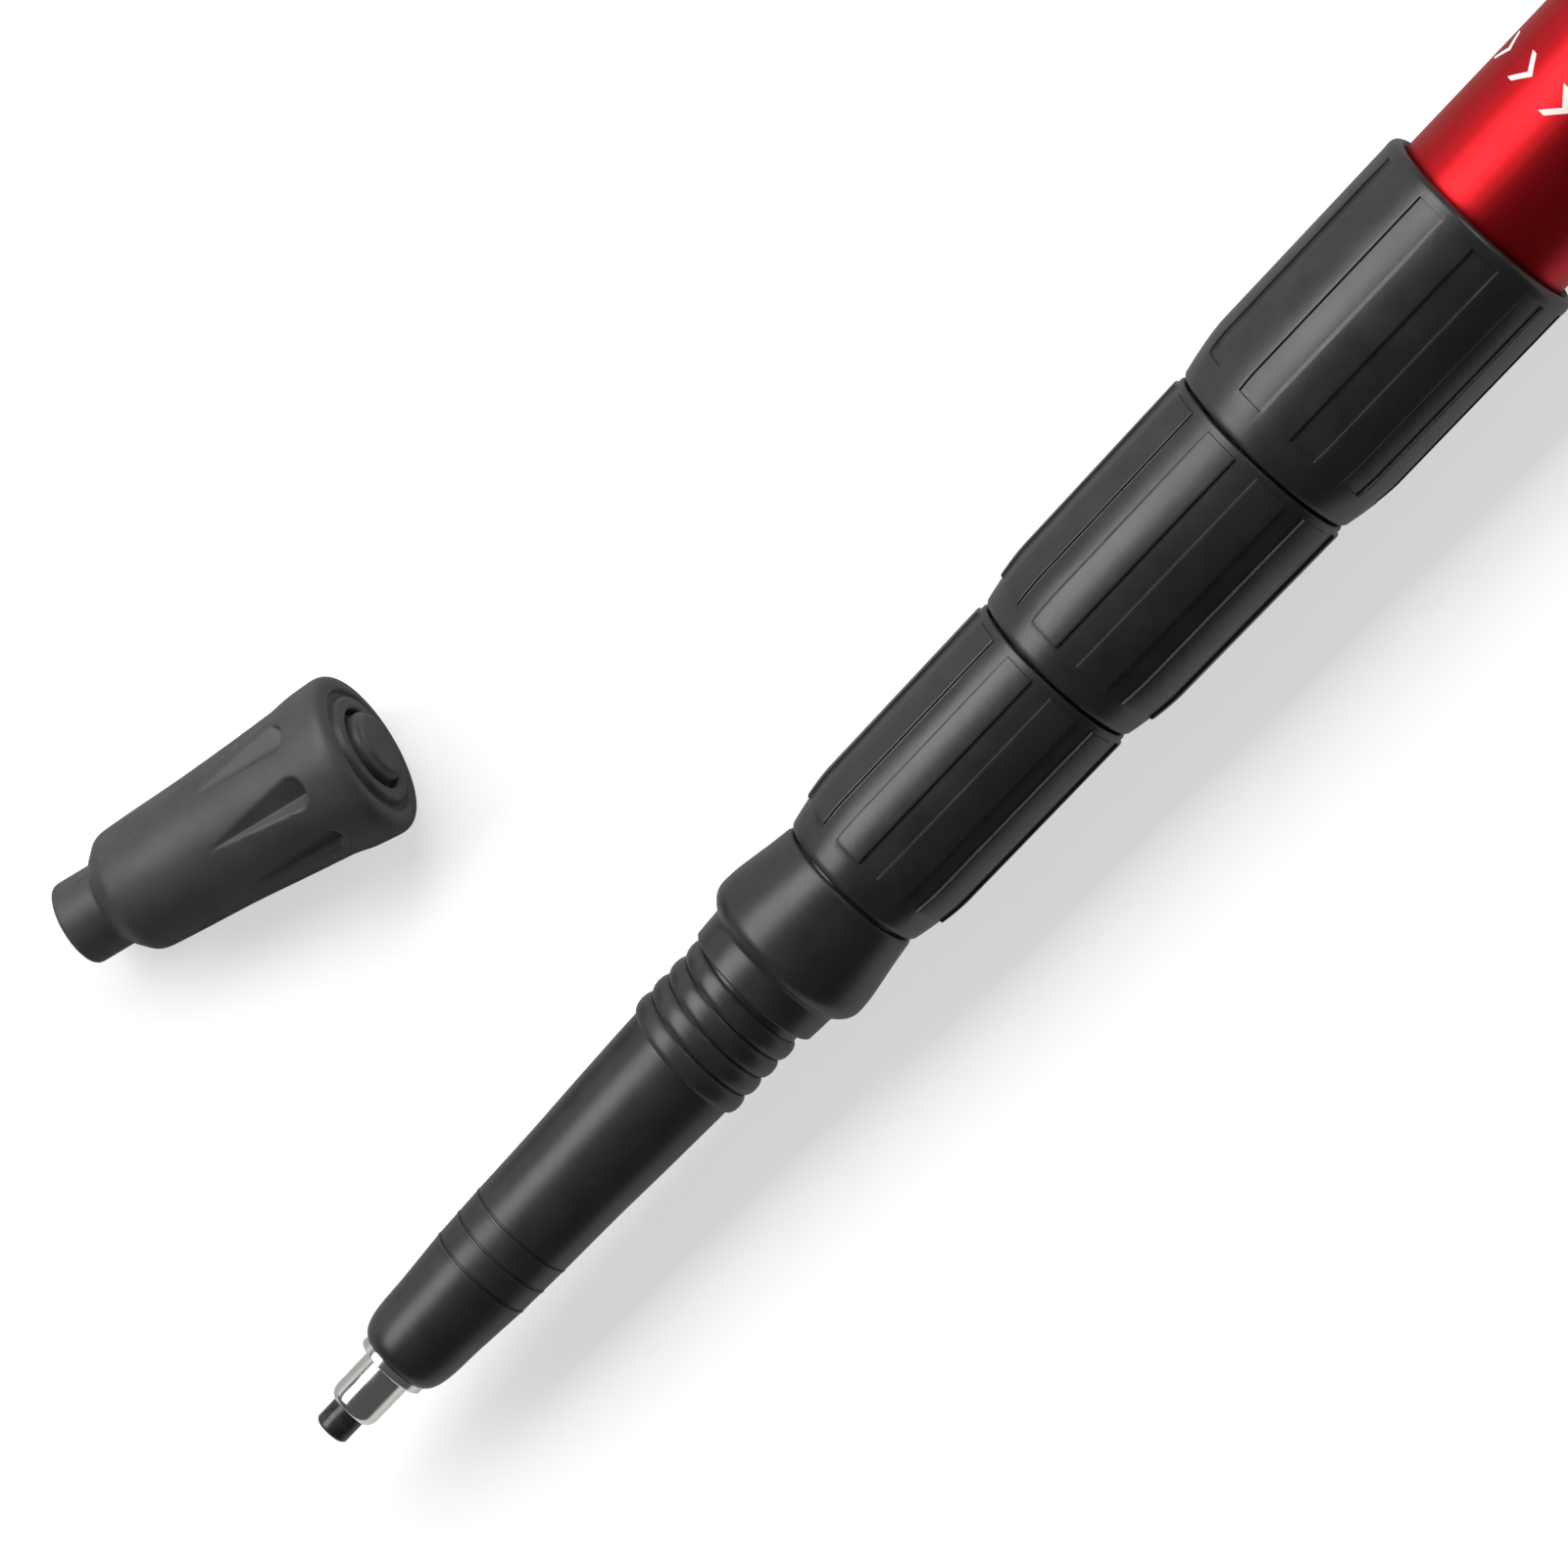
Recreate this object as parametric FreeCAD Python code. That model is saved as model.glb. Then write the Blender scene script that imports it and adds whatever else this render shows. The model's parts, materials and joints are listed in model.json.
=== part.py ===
import FreeCAD, Part
import math
import os

# A telescopic trekking pole in four sections, pushed fully together, with its rubber foot taken off.
# Millimetres. The pole lies on its side along X: tip at the origin, grip toward +X, +Z up.

# Tubes, outermost first: outer radius and wall. Each one slides inside the tube before it.
UPPER_TUBE_R = 11.0
SECOND_TUBE_R = 9.75
THIRD_TUBE_R = 8.5
LOWER_TUBE_R = 7.25
TUBE_WALL = 0.8
UPPER_TUBE_TOP = 520.0
SECOND_TUBE_TOP = 464.0
THIRD_TUBE_TOP = 422.0
LOWER_TUBE_TOP = 380.0

# Collars: one on the lower end of each of the three outer tubes, standing end to end.
THIRD_COLLAR = (81.9, 113.0)
SECOND_COLLAR = (113.3, 144.6)
UPPER_COLLAR = (144.9, 178.1)
COLLAR_SEAT = 6.4
SHOULDER_LENGTH = 7.0
GUIDE_CLEARANCE = 0.1
RIM_ROUND = 1.0
INNER_RIM_ROUND = 0.35
PAD_COUNT = 10
PAD_HEIGHT = 0.3
PAD_END_MARGIN = 1.7
INNER_PAD_END_MARGIN = 0.95

# Plain tip moulding, its ferrule and the hard-metal tip.
CARBIDE_R = 2.0
CARBIDE_OUT = 3.1
FERRULE_R = 2.9
FERRULE_FLANGE = (9.5, 10.6)
FERRULE_FLANGE_R = 4.05
FERRULE_SHANK_R = 3.0
FERRULE_SHANK_END = 24.0
CONE_FACE = 10.6
THREAD_MAJOR_R = 7.66
THREAD_MINOR_R = 7.28
THREAD_PITCH = 2.6
THREAD_TURNS = 4
THREAD_START = 55.45
NECK_BAND = (66.7, 69.8)
FLARE_R = 9.89
MOULDING_END = 81.6
SWAGE_R = 5.6
SWAGE = (48.0, 67.0)
SWAGE_CONE_END = 74.0

# Internal expanding locks, one on top of each inner tube. Distances run up from the tube's end.
INSERT_DEPTH = 12.0
INSERT_FLANGE = 1.5
SPINDLE_SHANK_R = 2.2
SPINDLE_ROD_R = 2.0
SPINDLE_LENGTH = 27.0
EXPANDER_SPAN = (3.0, 25.0)
EXPANDER_WEB = 2.5
EXPANDER_CLEARANCE = 0.05
CONE_SPAN = (9.0, 21.0)
CONE_RISE = 1.6
CONE_GAP = 0.3
RUNNING_GAP = 0.1
SLOT_WIDTH = 1.7
KEY_WIDTH = 1.3

# Grip, head and wrist strap. The grip is flattened, so the pole lies on the floor without rolling.
REST_HEIGHT = 12.95
GRIP = (395.0, 541.0)
HEAD_END = 566.0
HEAD_HALF_WIDTH = 17.8
PLUG_START = 503.0
PIN_AT = (550.0, 2.0)
PIN_R = 1.6
PIN_HALF_LENGTH = 12.3
STRAP_THICKNESS = 1.5
STRAP_HALF_WIDTH = 9.0
STRAP_TURN_R = 2.5
STRAP_STRAIGHT_END = 24.0
POCKET_HALF_HEIGHT = 9.6
STRAP_SWING = 18.5
WEDGE = (6.0, 17.5)

# Rubber foot, off the pole and lying on the floor beside it, sole toward the grip end.
FOOT_LENGTH = 40.7
FOOT_NECK_R = 4.87
FOOT_NECK_LENGTH = 5.4
FOOT_MAX_R = 9.5
FOOT_BORE_R = 3.0
FOOT_BORE_DEPTH = 9.8
FOOT_WASHER_R = 4.2
FOOT_WASHER_THICKNESS = 1.5
FLUTE_COUNT = 8
FLUTE_TURN = 104.8
FOOT_SOLE_AT = (55.1, 48.3)
FOOT_HEADING = -16.6
FOOT_TILT = 4.5

V = FreeCAD.Vector
ORIGIN = V(0, 0, 0)
ALONG = V(1, 0, 0)


def turned(path, angle=360):
    """Turn a closed path of (distance along X, radius) about X. A list in the path is a smooth curve."""
    edges = []
    first = None
    last = None
    for step in path:
        corners = step if isinstance(step, list) else [step]
        points = [V(x, r, 0) for x, r in corners]
        if last is not None and last.distanceToPoint(points[0]) > 1e-6:
            edges.append(Part.LineSegment(last, points[0]).toShape())
        if len(points) > 1:
            curve = Part.BSplineCurve()
            curve.interpolate(points)
            edges.append(curve.toShape())
        if first is None:
            first = points[0]
        last = points[-1]
    if last.distanceToPoint(first) > 1e-6:
        edges.append(Part.LineSegment(last, first).toShape())
    return Part.Face(Part.Wire(edges)).revolve(ORIGIN, ALONG, angle)


def round_about(shape, count, start=0.0):
    """Copies of a shape spaced evenly round X."""
    copies = []
    for i in range(count):
        copy = shape.copy()
        copy.rotate(ORIGIN, ALONG, start + i * 360.0 / count)
        copies.append(copy)
    return copies


def block(low, high):
    """A box between two opposite corners."""
    size = V(*high) - V(*low)
    return Part.makeBox(size.x, size.y, size.z, V(*low))


def pipe(start, end, outer_r, inner_r):
    """A plain tube along X."""
    return turned([(start, inner_r), (start, outer_r), (end, outer_r), (end, inner_r)])


def quarter_round(x, r, size):
    """Points of a rounded outer edge that ends at (x, r - size), starting at (x - size, r)."""
    points = []
    for step in range(6):
        a = math.radians(90 - step * 18)
        points.append((x - size + size * math.cos(a), r - size + size * math.sin(a)))
    return points


def collar(span, lip_r, low_r, high_r, guide_r, tube_r, pad_start, pad_angle, pad_turn, mouth):
    """A moulded twist collar: a lip, a rounded shoulder, a slightly tapered body and raised grip pads."""
    low, high = span
    rim = RIM_ROUND if mouth else INNER_RIM_ROUND

    def skin(x):
        if x < low + SHOULDER_LENGTH:
            left = 1 - (x - low) / SHOULDER_LENGTH
            return lip_r + (low_r - lip_r) * (1 - left ** 1.5)
        return low_r + (high_r - low_r) * (x - low - SHOULDER_LENGTH) / (high - low - SHOULDER_LENGTH)

    shoulder = []
    for step in range(8):
        x = low + 0.25 + (SHOULDER_LENGTH - 0.25) * step / 7
        shoulder.append((x, skin(x)))
    seat = low + COLLAR_SEAT
    path = [(seat, tube_r), (seat, guide_r), (low, guide_r), (low, lip_r - 0.25), shoulder]
    path.append(quarter_round(high, skin(high - rim), rim))
    if mouth:
        path += [(high, tube_r + 0.9), (high - 0.6, tube_r + 0.35), (high - 4, tube_r + 0.35), (high - 4, tube_r)]
    else:
        path.append((high, tube_r))
    body = turned(path)

    pad_end = high - (PAD_END_MARGIN if mouth else INNER_PAD_END_MARGIN)
    face = []
    for step in range(9):
        x = pad_start + (low + SHOULDER_LENGTH - pad_start) * step / 8
        face.append((x, skin(x) + PAD_HEIGHT))
    root = [(x, r - PAD_HEIGHT - 0.3) for x, r in reversed(face)]
    pad = turned([face, (pad_end, skin(pad_end) + PAD_HEIGHT), (pad_end, skin(pad_end) - 0.3), root], pad_angle)
    return body.multiFuse(round_about(pad, PAD_COUNT, pad_turn))


def helical_ridge():
    """The basket thread: a rounded ridge wound round X, its foot sunk in the moulding."""
    left_handed = True
    helix = Part.makeHelix(THREAD_PITCH, THREAD_PITCH * THREAD_TURNS, THREAD_MINOR_R, 0, left_handed)
    foot_r = THREAD_MINOR_R - 0.33
    left = V(foot_r, 0, -1.15)
    crest = V(THREAD_MAJOR_R, 0, 0)
    right = V(foot_r, 0, 1.15)
    section = Part.Wire([Part.Arc(left, crest, right).toShape(), Part.LineSegment(right, left).toShape()])
    ridge = Part.Wire(helix.Edges).makePipeShell([section], True, True)
    ridge.rotate(ORIGIN, V(0, 1, 0), 90)
    ridge.translate(V(THREAD_START, 0, 0))
    return ridge


def tip_moulding():
    """Tapered plastic tip: rounded end, fine ring lines, basket thread, neck band and flared cup."""
    end_round = [(10.6, 4.26), (11.2, 4.75), (12.2, 5.12), (14.0, 5.4), (17.2, 5.55), (23.4, 6.0)]
    lower = [(23.8, 6.04), (26.6, 6.13)]
    middle = [(27.0, 6.14), (29.9, 6.24)]
    upper = [(30.3, 6.25), (38.6, 6.45), (43.9, 6.66), (53.4, 6.98), (55.2, THREAD_MINOR_R)]
    band_low, band_high = NECK_BAND
    flare = [(band_high, 8.25), (70.3, 8.9), (71.2, 9.6), (72.4, FLARE_R), (74.5, 9.75)]
    flare += [(76.6, 9.4), (78.7, 9.05), (80.6, 8.76)]
    groove_depth = 0.14
    path = [(CONE_FACE, FERRULE_SHANK_R), end_round, (23.6, 6.02 - groove_depth), lower]
    path += [(26.8, 6.13 - groove_depth), middle, (30.1, 6.24 - groove_depth), upper]
    path += [(band_low, THREAD_MINOR_R), (band_low, 8.0), (band_low + 0.3, 8.12), flare]
    path += [quarter_round(MOULDING_END, 8.7, 0.6), (MOULDING_END, LOWER_TUBE_R)]
    path += [(SWAGE_CONE_END, LOWER_TUBE_R), (SWAGE[1], SWAGE_R), (SWAGE[0], SWAGE_R)]
    path += [(SWAGE[0], 0.0), (FERRULE_SHANK_END, 0.0), (FERRULE_SHANK_END, FERRULE_SHANK_R)]
    return turned(path).fuse(helical_ridge())


def ferrule():
    """Plated steel sleeve that carries the tip, with a flange against the moulding."""
    low, high = FERRULE_FLANGE
    path = [(CARBIDE_OUT, 1.6), (CARBIDE_OUT, 2.1), [(CARBIDE_OUT, 2.1), (CARBIDE_OUT + 0.35, 2.66), (CARBIDE_OUT + 1.2, FERRULE_R)]]
    path.append((low, FERRULE_R))
    path += [(low, FERRULE_FLANGE_R - 0.2), (low + 0.2, FERRULE_FLANGE_R), (high, FERRULE_FLANGE_R)]
    path += [(high, FERRULE_SHANK_R), (FERRULE_SHANK_END, FERRULE_SHANK_R), (FERRULE_SHANK_END, 0.0)]
    path += [(8.5, 0.0), (8.5, 1.6)]
    return turned(path)


def carbide_tip():
    """Hard-metal tip with a hollow biting end and a pressed-in shank."""
    dish = [(0.55, 0.0), (0.5, 0.5), (0.3, 1.05), (0.0, 1.5)]
    path = [dish, (0.0, 1.75), (0.25, CARBIDE_R), (CARBIDE_OUT, CARBIDE_R), (CARBIDE_OUT, 1.6)]
    path += [(8.5, 1.6), (8.5, 0.0)]
    return turned(path)


def lower_tube():
    """Innermost tube, its end swaged down to fit inside the tip moulding."""
    outer = [(SWAGE[0], SWAGE_R), (SWAGE[1], SWAGE_R), (SWAGE_CONE_END, LOWER_TUBE_R)]
    outer += [(LOWER_TUBE_TOP, LOWER_TUBE_R), (LOWER_TUBE_TOP, LOWER_TUBE_R - TUBE_WALL)]
    inner = [(SWAGE_CONE_END, LOWER_TUBE_R - TUBE_WALL), (SWAGE[1], SWAGE_R - TUBE_WALL)]
    inner += [(SWAGE[0], SWAGE_R - TUBE_WALL)]
    return turned(outer + inner)


def spindle_insert(top, tube_r):
    """Plastic plug pressed into the top of an inner tube, with a flange over the tube's end."""
    bottom = top - INSERT_DEPTH
    path = [(bottom, 0.0), (bottom, tube_r - TUBE_WALL), (top, tube_r - TUBE_WALL), (top, tube_r)]
    path += [(top + INSERT_FLANGE, tube_r), (top + INSERT_FLANGE, SPINDLE_SHANK_R)]
    path += [(top - 10, SPINDLE_SHANK_R), (top - 10, 0.0)]
    return turned(path)


def spindle(top):
    """Lock spindle: a shank held in the insert, a shoulder, the rod the cone nut runs on and a stop head."""
    shoulder = top + INSERT_FLANGE
    end = top + SPINDLE_LENGTH
    path = [(top - 10, 0.0), (top - 10, SPINDLE_SHANK_R), (shoulder, SPINDLE_SHANK_R), (shoulder, 3.4)]
    path += [(shoulder + 1.2, 3.4), (shoulder + 1.2, SPINDLE_ROD_R), (end, SPINDLE_ROD_R), (end, 3.2)]
    path += [(end + 1.2, 3.2), (end + 1.5, 2.9), (end + 1.5, 0.0)]
    return turned(path)


def cone_radius(expander_r, along):
    """Radius of a lock's cone at a distance up from the tube's end."""
    big = expander_r - 2.6
    return big - CONE_RISE * (CONE_SPAN[1] - along) / (CONE_SPAN[1] - CONE_SPAN[0])


def cone_nut(top, expander_r):
    """Cone nut with two keys that ride in the expander's slots, so that it cannot turn in it."""
    low, high = CONE_SPAN
    bore = SPINDLE_ROD_R + RUNNING_GAP
    path = [(top + low, bore), (top + low, cone_radius(expander_r, low))]
    path += [(top + high, cone_radius(expander_r, high)), (top + high, bore)]
    nut = turned(path)
    reach = expander_r - 1.0
    for side in (-1, 1):
        near = 3.0 * side
        far = reach * side
        key = block((top + high - 4, min(near, far), -KEY_WIDTH / 2), (top + high, max(near, far), KEY_WIDTH / 2))
        nut = nut.fuse(key)
    return nut


def expander(top, expander_r):
    """Slotted sleeve that the cone nut spreads against the bore of the tube around it."""
    low, high = EXPANDER_SPAN
    floor = low + EXPANDER_WEB
    bore = SPINDLE_ROD_R + RUNNING_GAP
    throat = cone_radius(expander_r, CONE_SPAN[0] - 2) + CONE_GAP
    mouth = cone_radius(expander_r, high) + CONE_GAP
    path = [(top + low, bore), (top + low, expander_r - 0.4), (top + low + 0.4, expander_r)]
    path += [(top + high - 0.4, expander_r), (top + high, expander_r - 0.4), (top + high, mouth)]
    path += [(top + CONE_SPAN[0] - 2, throat), (top + floor, throat), (top + floor, bore)]
    sleeve = turned(path)
    slot = block((top + floor + 1.5, 1.0, -SLOT_WIDTH / 2), (top + high + 1, expander_r + 1, SLOT_WIDTH / 2))
    return sleeve.cut(Part.makeCompound(round_about(slot, 4)))


def oval(x, half_width, half_height, offset=0.0):
    """An ellipse across the pole, wide along Y."""
    centre = V(x, offset, 0)
    shape = Part.Ellipse(centre + V(0, half_width, 0), centre + V(0, 0, half_height), centre)
    return Part.Wire(shape.toShape())


def grip():
    """Oval grip sleeve with soft finger waves, pressed over the upper tube."""
    start, end = GRIP
    waves = [(0.0, 12.9, 0.0), (0.05, 14.4, 0.0), (0.17, 15.7, -0.3), (0.30, 15.0, 0.4), (0.43, 16.4, -0.5)]
    waves += [(0.56, 15.5, 0.5), (0.70, 16.9, -0.6), (0.83, 16.0, 0.4), (0.95, 17.2, 0.0), (1.0, 17.3, 0.0)]
    rings = []
    for along, half_width, offset in waves:
        half_height = 12.3 if along == 0.0 else REST_HEIGHT - 0.03
        rings.append(oval(start + (end - start) * along, half_width, half_height, offset))
    body = Part.makeLoft(rings, True)
    return body.cut(Part.makeCylinder(UPPER_TUBE_R, end - start + 2, V(start - 1, 0, 0), ALONG))


def strap_pocket():
    """Space in the head for the strap: round at the pin, flared so that the strap can swing outward."""
    x, y = PIN_AT
    half = STRAP_TURN_R + STRAP_THICKNESS / 2 + 0.45
    mouth = 23.0
    spread = mouth * math.tan(math.radians(STRAP_SWING))
    corners = [V(x - half, y, 0), V(x - half, y + mouth, 0), V(x + half + spread, y + mouth, 0), V(x + half, y, 0)]
    face = Part.Face(Part.makePolygon(corners + corners[:1]))
    face.translate(V(0, 0, -POCKET_HALF_HEIGHT))
    throat = face.extrude(V(0, 0, 2 * POCKET_HALF_HEIGHT))
    turn = Part.makeCylinder(half, 2 * POCKET_HALF_HEIGHT, V(x, y, -POCKET_HALF_HEIGHT))
    return throat.fuse(turn)


def grip_head():
    """Domed head plugged into the upper tube, hollowed for the strap and its pin."""
    start = GRIP[1] + 0.3
    straight = 554.0
    rings = [oval(start, 17.2, REST_HEIGHT - 0.05), oval(start + 1.0, 17.6, REST_HEIGHT - 0.03)]
    rings.append(oval(548.0, HEAD_HALF_WIDTH, REST_HEIGHT - 0.03))
    for share in (0.0, 0.35, 0.6, 0.78, 0.9, 0.97):
        size = math.sqrt(1 - share * share)
        x = straight + (HEAD_END - straight) * share / 0.97
        rings.append(oval(x, HEAD_HALF_WIDTH * size, (REST_HEIGHT - 0.03) * size))
    dome = Part.makeLoft(rings, True)
    plug = turned([(PLUG_START, 0.0), (PLUG_START, UPPER_TUBE_R - TUBE_WALL), (UPPER_TUBE_TOP, UPPER_TUBE_R - TUBE_WALL),
                   (UPPER_TUBE_TOP, UPPER_TUBE_R), (start + 1, UPPER_TUBE_R), (start + 1, 0.0)])
    hole = Part.makeCylinder(PIN_R, 40, V(PIN_AT[0], PIN_AT[1], -20))
    return dome.fuse(plug).cut(strap_pocket()).cut(hole)


def strap_pin():
    """Steel cross pin that the strap turns on."""
    pin = Part.makeCylinder(PIN_R, 2 * PIN_HALF_LENGTH, V(PIN_AT[0], PIN_AT[1], -PIN_HALF_LENGTH))
    return pin.makeChamfer(0.25, [e for e in pin.Edges if isinstance(e.Curve, Part.Circle)])


def strap_line(offset):
    """Closed line of the webbing: round the pin, straight out of the head, then a loop beside the grip."""
    x, y = PIN_AT
    turn = STRAP_TURN_R + offset
    near = V(x - turn, y, 0)
    far = V(x + turn, y, 0)
    near_out = V(near.x, STRAP_STRAIGHT_END, 0)
    far_out = V(far.x, STRAP_STRAIGHT_END, 0)
    leg = STRAP_STRAIGHT_END
    centre = [(547.5, leg), (547.3, leg + 2.5), (543.5, 31.8), (533.0, 35.0), (505.0, 35.0), (468.0, 33.5)]
    centre += [(428.0, 34.0), (400.0, 38.5), (387.0, 50.0), (396.0, 61.5), (428.0, 68.0), (470.0, 70.3)]
    centre += [(510.0, 68.0), (536.0, 59.0), (549.0, 43.0), (552.3, leg + 2.5), (552.5, leg)]
    middle = Part.BSplineCurve()
    middle.interpolate([V(a, b, 0) for a, b in centre])
    first, last = middle.FirstParameter, middle.LastParameter
    points = []
    for step in range(61):
        along = first + (last - first) * step / 60
        direction = middle.tangent(along)[0]
        outward = V(-direction.y, direction.x, 0)
        points.append(middle.value(along) + outward * offset)
    points[0] = near_out
    points[-1] = far_out
    loop = Part.BSplineCurve()
    loop.interpolate(points)
    edges = [Part.LineSegment(near, near_out).toShape(), loop.toShape()]
    edges += [Part.LineSegment(far_out, far).toShape(), Part.Arc(far, V(x, y - turn, 0), near).toShape()]
    return Part.Wire(edges)


def wrist_strap():
    """Webbing wrist loop standing on edge, both ends of it closed round the pin."""
    half = STRAP_THICKNESS / 2
    outer = Part.Face(strap_line(half))
    inner = Part.Face(strap_line(-half))
    band = outer.cut(inner)
    band.translate(V(0, 0, -STRAP_HALF_WIDTH))
    return band.extrude(V(0, 0, 2 * STRAP_HALF_WIDTH))


def strap_wedge():
    """Tapered wedge between the strap's two legs. Pulling it out frees the strap for adjustment."""
    x = PIN_AT[0]
    low, high = WEDGE
    corners = [V(x - 1.1, low, 0), V(x - 1.6, high - 1, 0), V(x - 1.2, high, 0)]
    corners += [V(x + 1.2, high, 0), V(x + 1.6, high - 1, 0), V(x + 1.1, low, 0)]
    face = Part.Face(Part.makePolygon(corners + corners[:1]))
    face.translate(V(0, 0, -8.6))
    return face.extrude(V(0, 0, 17.2))


def on_floor(shape):
    """Move a foot piece from its own axis to where the foot lies on the floor."""
    shape = shape.copy()
    shape.translate(V(-FOOT_LENGTH, 0, 0))
    shape.rotate(ORIGIN, V(0, 1, 0), -FOOT_TILT)
    shape.rotate(ORIGIN, V(0, 0, 1), FOOT_HEADING)
    lean = math.radians(FOOT_TILT)
    slope = math.tan(lean)
    height = (7.2 + (FOOT_LENGTH - 8.3) * slope) * math.cos(lean)
    shape.translate(V(FOOT_SOLE_AT[0], FOOT_SOLE_AT[1], height - REST_HEIGHT))
    return shape


def foot_flute():
    """Cutter for one flute: an uneven V groove with a straight keel and a rounded far end."""
    keel = [V(19.0, 7.82, 0), V(19.0, 9.5, -6.0), V(19.0, 12.0, -6.0), V(19.0, 12.0, 4.5), V(19.0, 7.82, 0)]
    groove = Part.Face(Part.makePolygon(keel)).extrude(V(15.5, 0, 0))
    outline = block((18.0, 6.0, -2.75), (31.8, 13.0, 1.25)).fuse(Part.makeCylinder(2.0, 7.0, V(31.8, 6.0, -0.75), V(0, 1, 0)))
    return groove.common(outline)


def rubber_foot():
    """Moulded rubber foot: neck, stepped shoulder, fluted flaring body and a ringed sole."""
    sole = FOOT_LENGTH
    body = [(8.5, 7.22), (12.9, 7.47), (18.9, 7.76), (22.9, 8.07), (26.8, 8.44), (30.8, 8.84), (34.6, 9.27)]
    rim = [(34.6, 9.27), (36.5, 9.42), (37.6, FOOT_MAX_R), (38.3, 9.42), (38.8, 9.0), (39.0, 8.3)]
    neck_end = FOOT_NECK_LENGTH
    path = [(0.0, FOOT_BORE_R + 0.3), (0.0, FOOT_NECK_R - 0.4), (0.4, FOOT_NECK_R), (neck_end, FOOT_NECK_R)]
    path += [(neck_end, 5.5), (7.2, 6.85), [(7.2, 6.85), (7.8, 7.12), (8.5, 7.22)], body, rim]
    path += [(39.0, 7.35), (38.4, 7.1), (38.4, 6.6), (39.45, 6.3), (39.45, 4.85), (38.0, 4.75), (38.0, 4.2)]
    path += [(40.1, 4.1), (40.1, 3.7), (sole, 3.45), (sole, 0.0)]
    washer_end = FOOT_BORE_DEPTH + FOOT_WASHER_THICKNESS
    path += [(washer_end, 0.0), (washer_end, FOOT_WASHER_R), (FOOT_BORE_DEPTH, FOOT_WASHER_R)]
    path += [(FOOT_BORE_DEPTH, FOOT_BORE_R), (0.3, FOOT_BORE_R)]
    shell = turned(path)
    flutes = round_about(foot_flute(), FLUTE_COUNT, FLUTE_TURN)
    return on_floor(shell.cut(Part.makeCompound(flutes)))


def foot_washer():
    """Steel washer moulded in behind the bore, which takes the push of the tip."""
    start = FOOT_BORE_DEPTH
    end = start + FOOT_WASHER_THICKNESS
    return on_floor(turned([(start, 0.0), (start, FOOT_WASHER_R), (end, FOOT_WASHER_R), (end, 0.0)]))


def save(name, shape):
    """Write one node's shape."""
    solid = shape.removeSplitter() if name not in KEEP_FACES else shape
    print(name, "solids", len(solid.Solids), "valid", solid.isValid(), "mm3", round(solid.Volume, 1))
    solid.exportStep("parts/" + name + ".step")


KEEP_FACES = ("wrist_strap", "rubber_foot", "tip_moulding")
os.makedirs("parts", exist_ok=True)

seat_a = UPPER_COLLAR[0] + COLLAR_SEAT
seat_b = SECOND_COLLAR[0] + COLLAR_SEAT
seat_c = THIRD_COLLAR[0] + COLLAR_SEAT
save("upper_tube", pipe(seat_a, UPPER_TUBE_TOP, UPPER_TUBE_R, UPPER_TUBE_R - TUBE_WALL))
save("second_tube", pipe(seat_b, SECOND_TUBE_TOP, SECOND_TUBE_R, SECOND_TUBE_R - TUBE_WALL))
save("third_tube", pipe(seat_c, THIRD_TUBE_TOP, THIRD_TUBE_R, THIRD_TUBE_R - TUBE_WALL))
save("lower_tube", lower_tube())

save("upper_collar", collar(UPPER_COLLAR, 11.44, 12.52, 12.65, SECOND_TUBE_R + GUIDE_CLEARANCE, UPPER_TUBE_R,
                            UPPER_COLLAR[0] + 4.1, 16.5, 35.5, True))
save("second_collar", collar(SECOND_COLLAR, 10.1, 11.1, 11.38, THIRD_TUBE_R + GUIDE_CLEARANCE, SECOND_TUBE_R,
                             SECOND_COLLAR[0] + 3.2, 21.5, 37.3, False))
save("third_collar", collar(THIRD_COLLAR, 8.75, 9.85, 10.0, LOWER_TUBE_R + GUIDE_CLEARANCE, THIRD_TUBE_R,
                            THIRD_COLLAR[0] + 3.6, 21.5, 39.7, False))

save("tip_moulding", tip_moulding())
save("ferrule", ferrule())
save("carbide_tip", carbide_tip())

locks = ((1, SECOND_TUBE_TOP, SECOND_TUBE_R, UPPER_TUBE_R), (2, THIRD_TUBE_TOP, THIRD_TUBE_R, SECOND_TUBE_R),
         (3, LOWER_TUBE_TOP, LOWER_TUBE_R, THIRD_TUBE_R))
for number, top, inner_r, outer_r in locks:
    expander_r = outer_r - TUBE_WALL - EXPANDER_CLEARANCE
    save("spindle_insert_" + str(number), spindle_insert(top, inner_r))
    save("spindle_" + str(number), spindle(top))
    save("cone_nut_" + str(number), cone_nut(top, expander_r))
    save("expander_" + str(number), expander(top, expander_r))

save("grip", grip())
save("grip_head", grip_head())
save("strap_pin", strap_pin())
save("wrist_strap", wrist_strap())
save("strap_wedge", strap_wedge())
save("rubber_foot", rubber_foot())
save("foot_washer", foot_washer())
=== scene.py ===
# %% [markdown]
# # A telescopic walking pole, step by step
# The real object is a pole of four tubes that slide into one another. It is pushed fully together and lies on its side.
# Each of the three outer tubes ends in a ribbed twist collar, and the innermost one in a tapered tip with a thread for
# a basket, a plated ferrule and a hard-metal point. A rubber foot has been pulled off and lies beside it.
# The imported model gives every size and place. This script loads it, models the visible pieces again with soft edges and
# fine detail, and gives each one a finish that looks like the material it is made of.

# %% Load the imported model
import json
import math

import bmesh
import bpy
from mathutils import Euler, Matrix, Vector


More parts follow.
